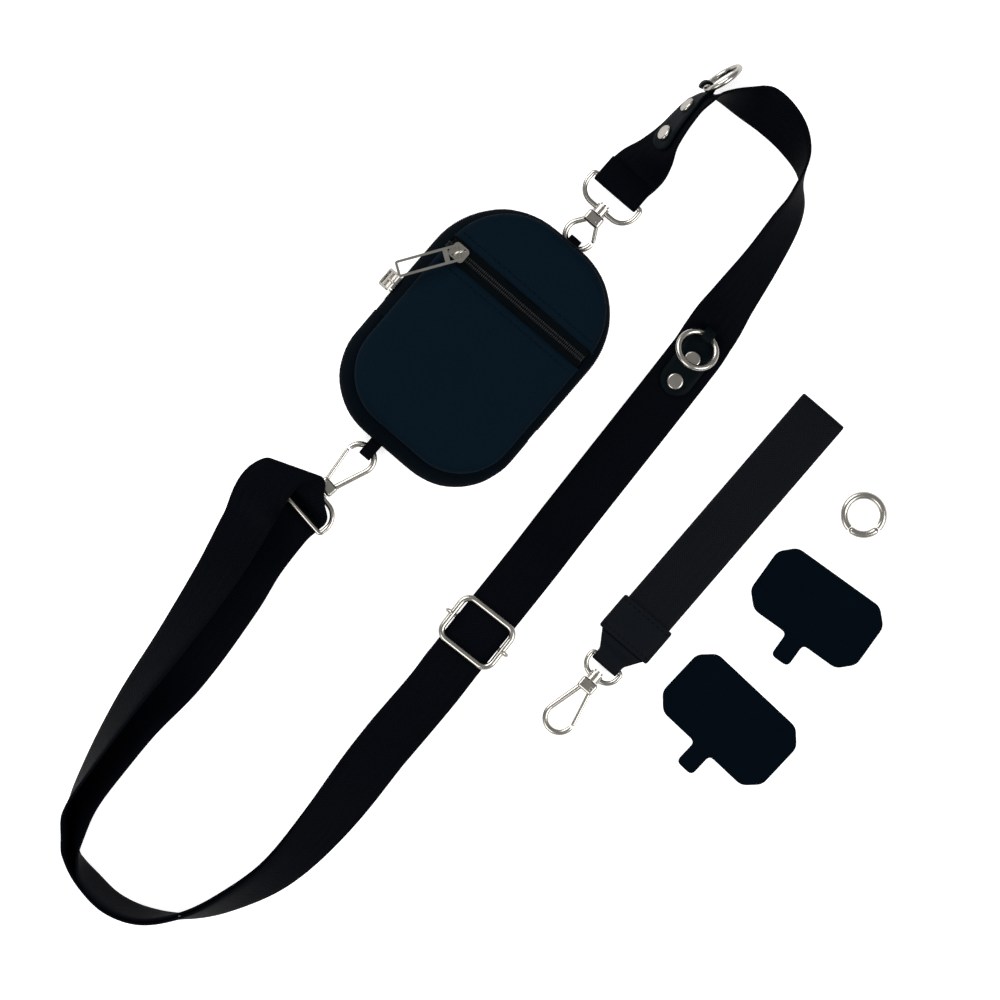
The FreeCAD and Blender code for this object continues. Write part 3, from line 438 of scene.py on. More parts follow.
SHELL_CLOTH = ClothFinish("navy_shell_cloth", srgb(6, 18, 27), 0.0006, 0.22, 0.00004, 0.62, 0.01)
# Painted shade: a darker copy of the shell's navy nylon for the gusset and back, standing for the shade on the pouch's
# side walls.
SHADED_RIM_CLOTH = ClothFinish("navy_rim_painted_shade_cloth", srgb(3, 8, 14), 0.0006, 0.22, 0.00004, 0.66, 0.01)
# Painted shade: the piping cord is self-fabric like the shell, but is dyed near black to stand for the shadowed groove
# along the seams.
GROOVE_SHADE_PIPING_CLOTH = ClothFinish("piping_painted_groove_shade", srgb(1, 3, 5), 0.0005, 0.3, 0.00003, 0.8, 0.01)
TAPE_CLOTH = ClothFinish("zip_tape_cloth", srgb(4, 7, 10), 0.0007, 0.45, 0.00006, 0.8, 0.02)
LINING_CLOTH = ClothFinish("thin_lining_cloth", srgb(6, 8, 11), 0.0004, 0.2, 0.00002, 0.7, 0.03)
STRAP_CLOTH = ClothFinish("black_strap_webbing", srgb(5, 7, 12), 0.0007, 0.6, 0.00012, 0.5, 0.012, Weave.TWILL)
WRIST_CLOTH = ClothFinish("dark_wrist_webbing", srgb(11, 14, 19), 0.0007, 0.6, 0.00012, 0.5, 0.04, Weave.TWILL, 0.02)
LOOP_CLOTH = ClothFinish("black_loop_webbing", srgb(2, 4, 7), 0.0006, 0.35, 0.0001, 0.7, 0.02, Weave.RIBBED)
THREAD = ClothFinish("twisted_thread", srgb(2, 6, 10), 0.0003, 0.3, 0.00003, 0.6, 0.03)
TAB_LEATHER = GrainFinish("black_tab_leather", srgb(4, 9, 12), 0.0011, 0.00005, 0.48, 0.03)
TRIM_LEATHER = GrainFinish("matt_wrist_trim", srgb(10, 13, 17), 0.0009, 0.00005, 0.6, 0.03)
PAD_SHEET = GrainFinish("coated_pad_sheet", srgb(2, 7, 14), 0.0006, 0.00002, 0.62, 0.01)
COIL_NYLON = GrainFinish("nylon_coil", srgb(13, 15, 18), 0.0006, 0.00001, 0.35, 0.14)
NICKEL = MetalFinish("polished_nickel", (0.42, 0.4, 0.36), 0.17, 0.14, 0.000004)


def dress(piece: Piece, body: str, material: Material, slot: str, *nodes: str) -> Piece:
    """Give a piece its material and body, and hide the nodes it stands for.

    Args:
        piece: The finished object.
        body: The body that it rides on, or no name where it bends between two.
        material: Its material.
        slot: Its material slot in the record; not used.
        nodes: Nodes that it replaces.

    Returns:
        The piece.
    """
    piece.data.materials.clear()
    piece.data.materials.append(material)
    if body:
        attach(piece, body)
    if nodes:
        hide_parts(*nodes)
    LOG.info("%s rides on %s", piece.name, body or "two bodies")
    return piece


def in_scene(name: str, data: bpy.types.ID) -> Piece:
    """Make an object and link it to the scene.

    Args:
        name: The object's name.
        data: Its mesh, curve, lamp or camera.

    Returns:
        The object.
    """
    made = bpy.data.objects.new(name, data)
    bpy.context.scene.collection.objects.link(made)
    return made


def mesh_piece(name: str, points: Sequence[Vector], faces: Sequence[Sequence[int]],
               uvs: Sequence[Pair] = ()) -> Piece:
    """Make a smooth mesh object at the origin.

    Args:
        name: The object's name.
        points: Its vertices, in metres.
        faces: Its faces.
        uvs: A flat coordinate for each vertex, in metres, or nothing.

    Returns:
        The object.
    """
    mesh = bpy.data.meshes.new(name)
    mesh.from_pydata([tuple(p) for p in points], [], faces)
    if uvs:
        layer = mesh.uv_layers.new(name="UVMap")
        for loop in mesh.loops:
            layer.data[loop.index].uv = uvs[loop.vertex_index]
    mesh.shade_smooth()
    mesh.update()
    return in_scene(name, mesh)


def curve_piece(name: str, paths: Sequence[Sequence[Vector]], closed: bool = False, **settings: object) -> Piece:
    """Make a curve object of straight lines.

    Args:
        name: The object's name.
        paths: Points of each line, in metres.
        closed: Whether each line joins up.
        settings: Further properties of the curve.

    Returns:
        The object.
    """
    curve = bpy.data.curves.new(name, "CURVE")
    for key, value in ({"dimensions": "3D"} | settings).items():
        setattr(curve, key, value)
    for points in paths:
        spline = curve.splines.new("POLY")
        spline.points.add(len(points) - 1)
        for spot, point in zip(spline.points, points):
            spot.co = (*point, 1.0)
        spline.use_cyclic_u = closed
    return in_scene(name, curve)


def cut_by(work: bmesh.types.BMesh, point: Vector, normal: Vector, clear: bool) -> None:
    """Cut a mesh by a plane.

    Args:
        work: The mesh.
        point: A point of the plane.
        normal: The plane's normal.
        clear: Whether what lies in front of it goes.
    """
    geometry = list(work.verts) + list(work.edges) + list(work.faces)
    bmesh.ops.bisect_plane(work, geom=geometry, plane_co=point, plane_no=normal, clear_outer=clear)


def written(work: bmesh.types.BMesh, piece: Piece) -> Piece:
    """Point a mesh's faces outwards and write it back.

    Args:
        work: The mesh.
        piece: The object that it belongs to.

    Returns:
        The object.
    """
    bmesh.ops.recalc_face_normals(work, faces=work.faces)
    work.to_mesh(piece.data)
    work.free()
    piece.data.shade_smooth()
    return piece


def reworked(piece: Piece, cuts: Iterable[tuple[float, int]] = (), weld: float = 2e-5) -> Piece:
    """Merge doubles and cut away what lies past each line across the pouch.

    Args:
        piece: The object.
        cuts: A place along the pouch, in millimetres, for each line, and 1 to clear above it or -1 below it.
        weld: Distance under which points merge.

    Returns:
        The object.
    """
    work = bmesh.new()
    work.from_mesh(piece.data)
    bmesh.ops.remove_doubles(work, verts=work.verts, dist=weld)
    for place, side in cuts:
        cut_by(work, NORTH * (place * MM), NORTH * side, True)
    return written(work, piece)


def baked(piece: Piece) -> Piece:
    """Turn an object's modifiers or curve into plain mesh.

    Args:
        piece: The object.

    Returns:
        The mesh object, with no modifier.
    """
    mesh = bpy.data.meshes.new_from_object(piece.evaluated_get(bpy.context.evaluated_depsgraph_get()))
    piece.modifiers.clear()
    if piece.type == "MESH":
        piece.data = mesh
        return piece
    name = piece.name
    bpy.data.objects.remove(piece)
    return in_scene(name, mesh)


def thickened(piece: Piece, thick: float, offset: float = -1.0) -> Piece:
    """Give a skin its thickness.

    Args:
        piece: The open skin, faces outwards.
        thick: The thickness, in millimetres.
        offset: -1 for inwards, 1 for outwards.

    Returns:
        The object.
    """
    solid = piece.modifiers.new("thick", "SOLIDIFY")
    solid.thickness = thick * MM
    solid.offset = offset
    solid.use_quality_normals = True
    return baked(piece)


class RowTree:
    """Geometry Nodes tree that lays small capsules along a path: stitches along it or coil teeth across it."""

    INPUTS = {"Path": "Geometry", "Spacing": "Float", "Length": "Float", "Radius": "Float", "Across": "Float",
              "Direction": "Vector", "Finish": "Material"}
    BEAD = {"Segments": 6, "Rings": 5, "Radius": 1.0}

    def __init__(self) -> None:
        """Build the tree with its named inputs."""
        self.tree = bpy.data.node_groups.new("capsule_row", "GeometryNodeTree")
        face = self.tree.interface
        self.ids = {label: face.new_socket(name=label, in_out="INPUT", socket_type="NodeSocket" + kind).identifier
                    for label, kind in self.INPUTS.items()}
        face.new_socket(name="Row", in_out="OUTPUT", socket_type="NodeSocketGeometry")
        sheet = NodeSheet(self.tree)
        given, result = sheet.node("NodeGroupInput").outputs, sheet.node("NodeGroupOutput")
        feeds = {"Curve": given["Path"], "Length": given["Spacing"]}
        spread = sheet.node("GeometryNodeResampleCurve", feeds, mode="LENGTH")
        feeds = {0: given["Across"], 4: sheet.node("GeometryNodeInputTangent").outputs[0], 5: given["Direction"]}
        heading = sheet.node("ShaderNodeMix", feeds, data_type="VECTOR")
        aim = sheet.node("FunctionNodeAlignRotationToVector", {"Vector": heading.outputs[1]}, axis="Z")
        bead = sheet.node("GeometryNodeMeshUVSphere", self.BEAD)
        half = sheet.math("MULTIPLY", given["Length"], 0.5)
        size = sheet.node("ShaderNodeCombineXYZ", {0: given["Radius"], 1: given["Radius"], 2: half})
        made = sheet.node("GeometryNodeInstanceOnPoints", {
            "Points": spread.outputs[0], "Instance": bead.outputs["Mesh"], "Rotation": aim.outputs[0],
            "Scale": size.outputs[0]})
        for kind in ("GeometryNodeRealizeInstances", "GeometryNodeSetShadeSmooth", "GeometryNodeSetMaterial"):
            made = sheet.node(kind, {0: made.outputs[0]})
        sheet.feed(made, {"Material": given["Finish"]})
        sheet.feed(result, {0: made.outputs[0]})

    def row(self, name: str, paths: Sequence[Sequence[Vector]], sizes: tuple[float, float, float],
            finish: Material, across: Vector | None = None) -> Piece:
        """Lay capsules along one or more paths.

        Args:
            name: The object's name.
            paths: Points of each path, in metres.
            sizes: Spacing, length and radius of the capsules, in millimetres.
            finish: Their material.
            across: The direction of teeth that lie across the path, or nothing for stitches along it.

        Returns:
            The row as a plain mesh object.
        """
        piece = curve_piece(name, paths)
        rule = piece.modifiers.new("row", "NODES")
        rule.node_group = self.tree
        for label, size in zip(("Spacing", "Length", "Radius"), sizes):
            rule[self.ids[label]] = size * MM
        rule[self.ids["Across"]] = 0.0 if across is None else 1.0
        rule[self.ids["Direction"]] = tuple(across or UP)
        rule[self.ids["Finish"]] = finish
        return baked(piece)


@dataclass
class Section:
    """One cross line of a band: its middle, its unit direction across and its width."""

    middle: Vector
    across: Vector
    width: float


def smooth_run(points: Sequence[Vector], steps: int) -> list[Vector]:
    """Even curve through points.

    Args:
        points: The points that it passes.
        steps: Samples for each span.

    Returns:
        The samples, both ends included.
    """
    padded = [points[0] * 2 - points[1], *points, points[-1] * 2 - points[-2]]
    run = []
    for first, start, end, last in zip(padded, padded[1:], padded[2:], padded[3:]):
        span = max((end - start).length, 1e-6)
        lead = (end - first) * (span / max(span + (start - first).length, 1e-6))
        tail = (last - start) * (span / max(span + (last - end).length, 1e-6))
        for i in range(steps):
            t = i / steps
            run.append(start * (2 * t ** 3 - 3 * t ** 2 + 1) + lead * (t ** 3 - 2 * t ** 2 + t)
                       + end * (3 * t ** 2 - 2 * t ** 3) + tail * (t ** 3 - t ** 2))
    return run + [points[-1]]


def ramp(value: float, start: float, end: float) -> float:
    """Share of the way from one value to another.

    Args:
        value: The value.
        start: Where the share is 0.
        end: Where the share is 1.

    Returns:
        The share, from 0 to 1.
    """
    return min(1.0, max(0.0, (value - start) / (end - start)))


def quads(rows: int, count: int) -> list[tuple[int, ...]]:
    """Faces between closed rows of points.

    Args:
        rows: Number of rows.
        count: Points in each.

    Returns:
        The faces.
    """
    return [(i * count + j, i * count + (j + 1) % count, (i + 1) * count + (j + 1) % count, (i + 1) * count + j)
            for i in range(rows - 1) for j in range(count)]


SELVEDGE = ((-1.0, 0.0), (-0.985, 0.3), (-0.94, 0.47), (-0.6, 0.5), (0.0, 0.5), (0.6, 0.5), (0.94, 0.47), (0.985, 0.3),
            (1.0, 0.0))


def band(name: str, sections: Sequence[Section], thick: float) -> Piece:
    """Flat band with rounded selvedges along cross lines.

    Args:
        name: The object's name.
        sections: Its cross lines in order.
        thick: Its thickness, in millimetres.

    Returns:
        The object, with flat coordinates across and along in metres.
    """
    profile = [*SELVEDGE, *((share, -rise) for share, rise in SELVEDGE[-2:0:-1])]
    points, uvs = [], []
    along, last = 0.0, sections[0].middle
    for i, cut in enumerate(sections):
        ahead = sections[min(i + 1, len(sections) - 1)].middle - sections[max(i - 1, 0)].middle
        normal = cut.across.cross(ahead).normalized()
        along += (cut.middle - last).length
        last = cut.middle
        for share, rise in profile:
            points.append(cut.middle + cut.across * (share * cut.width / 2) + normal * (rise * thick * MM))
            uvs.append((share * cut.width / 2, along))
    count = len(profile)
    caps = [tuple(range(count))[::-1], tuple(range(len(points) - count, len(points)))]
    return reworked(mesh_piece(name, points, quads(len(sections), count) + caps, uvs), weld=1e-7)


@dataclass
class Pouch:
    """The zipped pouch: puffed front, bulging gusset, back, piping, zips and webbing loops. Sizes in millimetres."""

    rack: FinishRack
    rows: RowTree
    width: float = 94.5
    length: float = 128.5
    top_radius: float = 39.0
    foot_radius: float = 33.0
    seam: float = 5.5
    back: float = 2.0
    rim: float = 23.0
    zip_low: float = 8.5
    zip_high: float = 16.5
    zip_foot: float = -18.0
    slot_low: float = 22.25
    slot_high: float = 32.25
    cloth: float = 1.1
    tape: float = 0.5
    tape_sink: float = 0.95
    tape_lap: float = 0.8
    coil_end: float = 6.2
    coil_sink: float = 0.8
    coil_half: float = 0.85
    main_coil_half: float = 1.05
    cord: float = 0.75
    pucker: float = 0.22
    stitch_line: float = 3.6
    stitch_sink: float = 0.42
    hem_drop: float = 0.95
    hem_reach: float = 2.4
    hem_turn: float = 0.35
    groove: float = 0.5
    loop_width: float = 6.2
    loop_thick: float = 1.05
    loop_level: float = 5.2
    loop_bend: float = 3.55
    lean_side: float = 0.076
    lean_top: float = 0.45
    lean_foot: float = 0.22

    ARC_SPOTS = 17
    LINE_STEPS = 14
    FRONT = ((5.9, 22.6), (5.35, 23.4), (5.05, 24.6), (5.15, 26.0), (5.8, 27.5), (7.1, 28.8), (9.2, 29.6),
             (12.0, 30.05), (16.0, 30.35), (21.0, 30.55), (27.0, 30.7), (34.0, 30.8), (41.0, 30.85), (49.0, 30.85))
    BACK = ((5.5, 2.1), (5.55, 1.2), (6.1, 0.45), (7.4, 0.08), (10.0, 0.0), (22.0, 0.0), (36.0, 0.0), (49.0, 0.0))
    DIVIDER = ((7.6, 23.1), (20.0, 23.05), (49.0, 23.0))
    SLACK = ((0.55, 31, Vector((0, 0, 0))), (0.22, 83, Vector((3, 1, 7))))
    HEM_STEPS = (0.5, 1.2, 2.2, 3.0, 3.6, 4.2, 5.2, 7.5)
    FRONT_TEETH = (1.0, 1.9, 0.4)
    MAIN_TEETH = (1.0, 2.3, 0.42)
    STITCHES = (3.0, 2.2, 0.2)

    def ring(self, inset: float, level: float) -> list[Vector]:
        """Closed outline of the pouch, counter-clockwise from the right of the foot.

        Args:
            inset: How far it is drawn in.
            level: Its height.

        Returns:
            Points in metres, the same number for every inset.
        """
        half, end = max(self.width / 2 - inset, 0.4), self.length / 2 - inset
        rise = min(self.rim, max(self.back, level)) - (self.rim + self.back) / 2
        foot, top = max(self.foot_radius - inset, 0.3), max(self.top_radius - inset, 0.3)
        spots: list[Vector] = []
        for index, (radius, side_x, side_y) in enumerate(((foot, 1, -1), (top, 1, 1), (top, -1, 1), (foot, -1, -1))):
            reach = min(radius, half)
            lean = self.lean_top if side_y > 0 and rise > 0 else self.lean_foot
            x, y = side_x * (half - reach) + self.lean_side * rise, side_y * (end - radius) + lean * rise
            for k in range(self.ARC_SPOTS):
                turn = math.radians(-90 + 90 * index + 90 * k / (self.ARC_SPOTS - 1))
                spots.append(Vector((x + reach * math.cos(turn), y + radius * math.sin(turn), level)) * MM)
        ring: list[Vector] = []
        for index, (start, stop) in enumerate(zip(spots, spots[1:] + spots[:1])):
            steps = self.LINE_STEPS if index % self.ARC_SPOTS == self.ARC_SPOTS - 1 else 1
            ring += [start.lerp(stop, k / steps) for k in range(steps)]
        return ring

    def skin(self, name: str, profile: Sequence[Pair], close: bool) -> Piece:
        """Skin through outlines.

        Args:
            name: The object's name.
            profile: Inset and height of each outline.
            close: Whether the last outline is filled.

        Returns:
            The skin as an object.
        """
        points = [point for inset, level in profile for point in self.ring(inset, level)]
        count = len(points) // len(profile)
        cap = [tuple(range(len(points) - count, len(points)))] if close else []
        return mesh_piece(name, points, quads(len(profile), count) + cap)

    def front_skin(self, name: str, sink: float) -> Piece:
        """Puffed front, whole.

        Args:
            name: The object's name.
            sink: How far it lies under the cloth's face.

        Returns:
            The skin.
        """
        profile = [(inset + sink * max(0.0, 1 - (inset - self.seam) / 8), level - sink * ramp(level, 24, 29))
                   for inset, level in self.FRONT]
        return self.skin(name, profile, True)

    def crown(self, x: float) -> float:
        """Height of the front's face at a place across it.

        Args:
            x: The place, from the middle.

        Returns:
            The height.
        """
        inset = self.width / 2 - abs(x)
        for (near, low), (far, high) in zip(self.FRONT[3:], self.FRONT[4:]):
            if near <= inset <= far:
                return low + (high - low) * (inset - near) / (far - near)
        return self.FRONT[-1][1]

    def settle(self, piece: Piece, edge: float, side: int) -> None:
        """Pull the cloth down at its hem and along its stitch line, add slack and turn the hem in.

        Args:
            piece: The front panel.
            edge: Place of the hem along the pouch.
            side: 1 where the panel lies above the zip, -1 below it.
        """
        work = bmesh.new()
        work.from_mesh(piece.data)
        for step in self.HEM_STEPS:
            cut_by(work, NORTH * ((edge + side * step) * MM), NORTH, False)
        for vert in work.verts:
            away = side * (vert.co.y / MM - edge)
            hem = self.hem_drop * max(0.0, 1 - away / self.hem_reach) ** 2
            groove = self.groove * math.exp(-((away - self.stitch_line) / self.groove) ** 2)
            slack = sum(size * noise.noise(vert.co * scale + shift) for size, scale, shift in self.SLACK)
            vert.co.z += (slack * min(1.0, away / 9) - hem - groove) * ramp(vert.co.z / MM, 24, 28) * MM
        rim = [e for e in work.edges if e.is_boundary and all(abs(v.co.y / MM - edge) < 0.01 for v in e.verts)]
        turned = bmesh.ops.extrude_edge_only(work, edges=rim)["geom"]
        for vert in (g for g in turned if isinstance(g, bmesh.types.BMVert)):
            vert.co.z -= self.cloth * MM
            vert.co.y += side * self.hem_turn * MM
        written(work, piece)

    def build_front(self) -> None:
        """Front panels above and below the zip, and the divider behind them."""
        cloth = self.rack.cloth(SHELL_CLOTH)
        for part, edge, side in (("lower", self.slot_low, -1), ("upper", self.slot_high, 1)):
            piece = reworked(self.front_skin("front_cloth_" + part, 0.0), [(edge, -side)])
            self.settle(piece, edge, side)
            dress(thickened(piece, self.cloth), "pouch", cloth, "pouch_cloth", "front_panel_" + part)
        divider = thickened(reworked(self.skin("pocket_lining", self.DIVIDER, True)), 0.5, 1.0)
        dress(divider, "pouch", self.rack.cloth(LINING_CLOTH), "lining_cloth", "pocket_divider")

    def bulge(self, low: float, high: float, sink: float = 0.0) -> list[Pair]:
        """Gusset profile between two heights.

        Args:
            low: Lower height.
            high: Upper height.
            sink: How far it is drawn in.

        Returns:
            Inset and height of each outline.
        """
        middle, reach = (self.back + self.rim) / 2, (self.rim - self.back) / 2
        levels = [low + (high - low) * i / 7 for i in range(8)]
        return [(self.seam * ((z - middle) / reach) ** 2 + sink, z) for z in levels]

    @staticmethod
    def crease(piece: Piece, size: float) -> None:
        """Give the gusset's cloth slight puckers.

        Args:
            piece: The skin.
            size: Their depth, in millimetres.
        """
        for vert in piece.data.vertices:
            out = Vector((vert.co.x, vert.co.y, 0)).normalized()
            pucker = noise.noise(Vector((vert.co.x * 120, vert.co.y * 120, vert.co.z * 30)))
            vert.co += out * (pucker * size * MM)

    def build_gusset(self) -> None:
        """Gusset strips, back and piping."""
        # The gusset strips and back take the darker copy of the shell cloth, painted shade of the side walls.
        cloth = self.rack.cloth(SHADED_RIM_CLOTH)
        for name, low, high, keep, node in (
                ("gusset_foot_cloth", self.back, self.rim, -1, "gusset_lower"),
                ("gusset_back_cloth", self.back, self.zip_low, 1, "gusset_back_strip"),
                ("gusset_front_cloth", self.zip_high, self.rim, 1, "gusset_front_strip")):
            piece = self.skin(name, self.bulge(low, high), False)
            self.crease(piece, self.pucker)
            reworked(piece, [(self.zip_foot, -keep)])
            dress(thickened(piece, self.cloth), "pouch", cloth, "pouch_cloth", node)
        back = reworked(self.skin("back_cloth", self.BACK, True))
        dress(back, "pouch", cloth, "pouch_cloth", "back_panel")
        # Seam cords in the near-black piping cloth: painted shade of the groove at the front and back seams.
        for part, level in (("front", self.rim - 0.05), ("back", self.back)):
            path = self.ring(self.seam + 0.45, level)
            cord = baked(curve_piece(part + "_seam_cord", [path], True, bevel_depth=self.cord * MM, bevel_resolution=2))
            cord.data.shade_smooth()
            dress(cord, "pouch", self.rack.cloth(GROOVE_SHADE_PIPING_CLOTH), "piping_cloth", part + "_piping")

    def build_zips(self) -> None:
        """Tapes, coils and stitch lines of both zips."""
        tape, coil, thread = self.rack.cloth(TAPE_CLOTH), self.rack.grained(COIL_NYLON), self.rack.cloth(THREAD)
        front = self.front_skin("front_tape_cloth", self.tape_sink)
        reworked(front, [(self.slot_high + self.tape_lap, 1), (self.slot_low - self.tape_lap, -1)])
        dress(thickened(front, self.tape), "pouch", tape, "zip_tape", "front_zip_tape")
        main = self.skin("main_tape_cloth", self.bulge(self.zip_low - 0.5, self.zip_high + 0.5, 0.35), False)
        reworked(main, [(self.zip_foot, -1)])
        dress(thickened(main, self.tape), "pouch", tape, "zip_tape", "main_zip_tape")
        middle = (self.slot_low + self.slot_high) / 2
        reach = self.width / 2 - self.coil_end
        places = [-reach + 2 * reach * k / 60 for k in range(61)]
        paths = [[Vector((x, middle + side * self.coil_half, self.crown(x) - self.coil_sink)) * MM for x in places]
                 for side in (-1, 1)]
        teeth = self.rows.row("front_coil", paths, self.FRONT_TEETH, coil, NORTH)
        dress(teeth, "pouch", coil, "zip_teeth", "front_zip_teeth")
        crest, foot = (self.zip_low + self.zip_high) / 2, (self.zip_foot + 4) * MM
        rows = []
        for side in (-1, 1):
            ring = self.ring(0.4, crest + side * self.main_coil_half)
            start = next(i for i, p in enumerate(ring) if p.x > 0 and p.y > foot)
            rows.append([p for p in ring[start:] if p.y > foot])
        teeth = self.rows.row("main_coil", rows, self.MAIN_TEETH, coil, UP)
        dress(teeth, "pouch", coil, "zip_teeth", "main_zip_teeth")
        seams = [[Vector((x, place, self.crown(x) - self.stitch_sink)) * MM for x in places[2:-2]]
                 for place in (self.slot_low - self.stitch_line, self.slot_high + self.stitch_line)]
        dress(self.rows.row("front_stitches", seams, self.STITCHES, thread), "pouch", thread, "pouch_cloth")

    def build_loops(self) -> None:
        """Webbing loops at the top and the foot that take the snap hooks."""
        cloth = self.rack.cloth(LOOP_CLOTH)
        seam_end, bend = self.length / 2 - self.seam, self.loop_bend
        for part, place, reach, side in (("top", 2.5, 10.2, 1), ("foot", -6.5, 15.0, -1)):
            spots = [(seam_end - 2.5, bend), (seam_end + 1.0, bend)]
            for k in range(13):
                turn = math.radians(90 - 15 * k)
                spots.append((seam_end + reach - 0.55 - bend + bend * math.cos(turn), bend * math.sin(turn)))
            spots += [(seam_end + 1.0, -bend), (seam_end - 2.5, -bend)]
            cuts = [Section(Vector((place, side * y, self.loop_level + z)) * MM, EAST, self.loop_width * MM)
                    for y, z in spots]
            dress(band(part + "_web_loop", cuts, self.loop_thick), "pouch", cloth, "pouch_cloth", part + "_loop")

    def build(self) -> None:
        """Build and dress the whole pouch."""
        self.build_front()
        self.build_gusset()
        self.build_zips()
        self.build_loops()


@dataclass
class Lay:
    """One cross line of the strap as it lies: its edges, the lift of its lower face and the height of its stack."""

    left: Vector
    right: Vector
    push: float
    stack: float
    normal: Vector | None = None

    def faces(self, along: Vector, thick: float) -> tuple[Vector, Vector]:
        """Middle surface at both edges.

        Args:
            along: Direction of the run here.
            thick: The webbing's thickness.

        Returns:
            Left and right edge, lifted clear of the floor.
        """
        normal = self.normal or (self.right - self.left).cross(along).normalized()
        dip = min(0.0, self.left.z + normal.z * self.stack)
        lift = normal * (self.push + thick / 2) - UP * dip
        return self.left + lift, self.right + lift


Station = tuple[Pair, Pair]
ORIGIN = (477, 347)
PIXEL = 0.47
HEADING = (0.758, 0.652)


def on_table(pixel: Pair, level: float) -> Vector:
    """Point of the part for a place of the flat lay.

    Args:
        pixel: Place in the flat lay, right and down.
        level: Height in millimetres.

    Returns:
        The point, in millimetres.
    """
    across, down = ((place - start) * PIXEL for place, start in zip(pixel, ORIGIN))
    cos, sin = HEADING
    return Vector((across * cos + down * sin, across * sin - down * cos, level))


@dataclass
class Strap:
    """The long webbing strap with its sewn ends, loose fold and two riveted leather tabs. Sizes in millimetres."""

    rack: FinishRack
    width: float = 25.0
    flat_pixels: float = 53.2
    thick: float = 1.5
    gap: float = 0.3
    sewn: float = 18.0
    sewn_bend: float = 1.95
    upper_sewn: float = 12.5
    upper_bend: float = 2.15
    hook_level: float = 5.2
    glide_level: float = 5.6
    upper_bar: Vector = Vector((2.5, 98.25, 5.2))
    lower_bar: Vector = Vector((-12.637, -112.621, 5.2))
    fold_run: Vector = Vector((0.13917, 0.99027, 0.0))
    glide: Vector = Vector((87.34, -101.53, 2.65))
    glide_run: Vector = Vector((0.044, -0.999, 0.0))
    tab_width: float = 16.0
    tab_neck: float = 5.6
    tab_thick: float = 1.5
    tab_lift: float = 0.95
    tab_seat: float = 3.35
    tab_round: float = 7.5
    tab_fold: Pair = (2.4, 3.1)
    steps: int = 8
    drawn: int = 3

    MAIN: tuple[Station, ...] = (
        ((641, 141), (671, 170)), ((660, 128), (678, 149)), ((686, 104), (699, 118)), ((706, 95), (712, 106)),
        ((718, 103), (722, 98)), ((734, 116), (748, 92)), ((756, 132), (776, 92)), ((778, 152), (801, 122)),
        ((795, 175), (806, 157)), ((802, 203), (787, 196)), ((797, 228), (770, 217)), ((777, 268), (744, 251)),
        ((751, 313), (712, 288)), ((730, 352), (688, 318)), ((716, 373), (673, 340)), ((584, 541), (541, 508)))
    GLIDING: tuple[Station, ...] = (((553, 581), (510, 548)), ((481, 671), (438, 638)))
    SHARED: tuple[Station, ...] = (
        ((453, 707), (410, 674)), ((403, 766), (361, 732)), ((340, 837), (305, 808)), ((285, 882), (264, 858)),
        ((230, 905), (220, 890)), ((186, 912), (184, 908)), ((149, 905.5), (143.5, 915.5)),
        ((121, 892), (109.5, 904.5)), ((98, 870), (84, 878)))
    OUTER: tuple[Station, ...] = (
        ((86, 852), (71, 851)), ((82, 838), (70.5, 836)), ((74, 812), (72.5, 811)), ((88, 769), (97, 774)),
        ((122, 699), (143, 712)), ((163, 632), (192, 650)), ((201, 565), (240, 585)))
    LIFTED: tuple[Station, ...] = (((226, 512), (272, 530)),)
    INNER: tuple[Station, ...] = (
        ((85, 857), (82, 855)), ((68, 835), (87, 839)), ((71, 802), (101, 807)), ((97, 752), (131, 767)),
        ((123, 704), (159, 733)), ((165, 648), (208, 681)), ((215, 579), (259, 611)), ((238, 544), (282, 573)))
    TAIL_START: tuple[Station, ...] = (((469, 685), (427, 652)),)
    UPPER_LAYER = ((MAIN, Rest.FLOOR), (GLIDING, Rest.GLIDE), (SHARED + OUTER, Rest.STACK), (LIFTED, Rest.OVER))
    LOWER_LAYER = ((TAIL_START, Rest.FLOOR), (SHARED, Rest.STACK), (INNER, Rest.FLOOR))
    FOLD: tuple[tuple[Pair, Pair, float], ...] = (
        ((-27.8, -12.1), (-8.0, -5.5), 13.4), ((-30.9, -4.5), (-9.2, 6.0), 14.8), ((-30.6, 1.0), (-7.6, 12.5), 15.4),
        ((-28.5, 5.0), (-4.5, 18.3), 13.6), ((-25.0, 4.5), (-1.2, 17.3), 11.8), ((-18.0, 4.0), (3.8, 11.2), 10.4),
        ((-13.3, 5.0), (10.5, 7.5), 8.6), ((-12.5, 4.6), (12.5, 4.6), 4.6), ((-12.5, 1.6), (12.5, 1.6), 1.0),
        ((-12.5, -7.2), (12.5, -7.2), 0.75))
    WEB_NODES = ("upper_run", "top_bend", "long_run", "glide_run", "lower_run", "bottom_bend", "outer_strand", "fold",
                 "upper_end", "inner_bend", "inner_strand")

    def laid(self, station: Station, rest: Rest, upper: bool) -> Lay:
        """Cross line of a station: full width, leaning where it looks narrow.

        Args:
            station: Left edge and right edge of the webbing.
            rest: What it lies on.
            upper: Whether it is the upper layer of a stack.

        Returns:
            The cross line.
        """
        level = {Rest.GLIDE: self.glide_level, Rest.OVER: 2 * self.hook_level}.get(rest, 0.0)
        left, right = (on_table(edge, level) for edge in station)
        layer = self.thick + self.gap if rest is Rest.STACK else 0.0
        share = min(1.0, (right - left).length / (self.flat_pixels * PIXEL))
        half = (right - left).normalized() * (share * self.width / 2)
        rise = UP * (self.width * math.sqrt(1 - share ** 2))
        middle = (left + right) / 2
        return Lay(middle - half, middle + half + rise, layer if upper else 0.0, self.thick + layer)

    def edges(self, lays: Sequence[Lay]) -> list[tuple[Vector, Vector]]:
        """Middle surface along a run.

        Args:
            lays: Its cross lines.

        Returns:
            Left and right edge at each.
        """
        middles = [(lay.left + lay.right) / 2 for lay in lays]
        ahead, behind = middles[1:] + middles[-1:], middles[:1] + middles[:-1]
        return [lay.faces(after - before, self.thick) for lay, after, before in zip(lays, ahead, behind)]

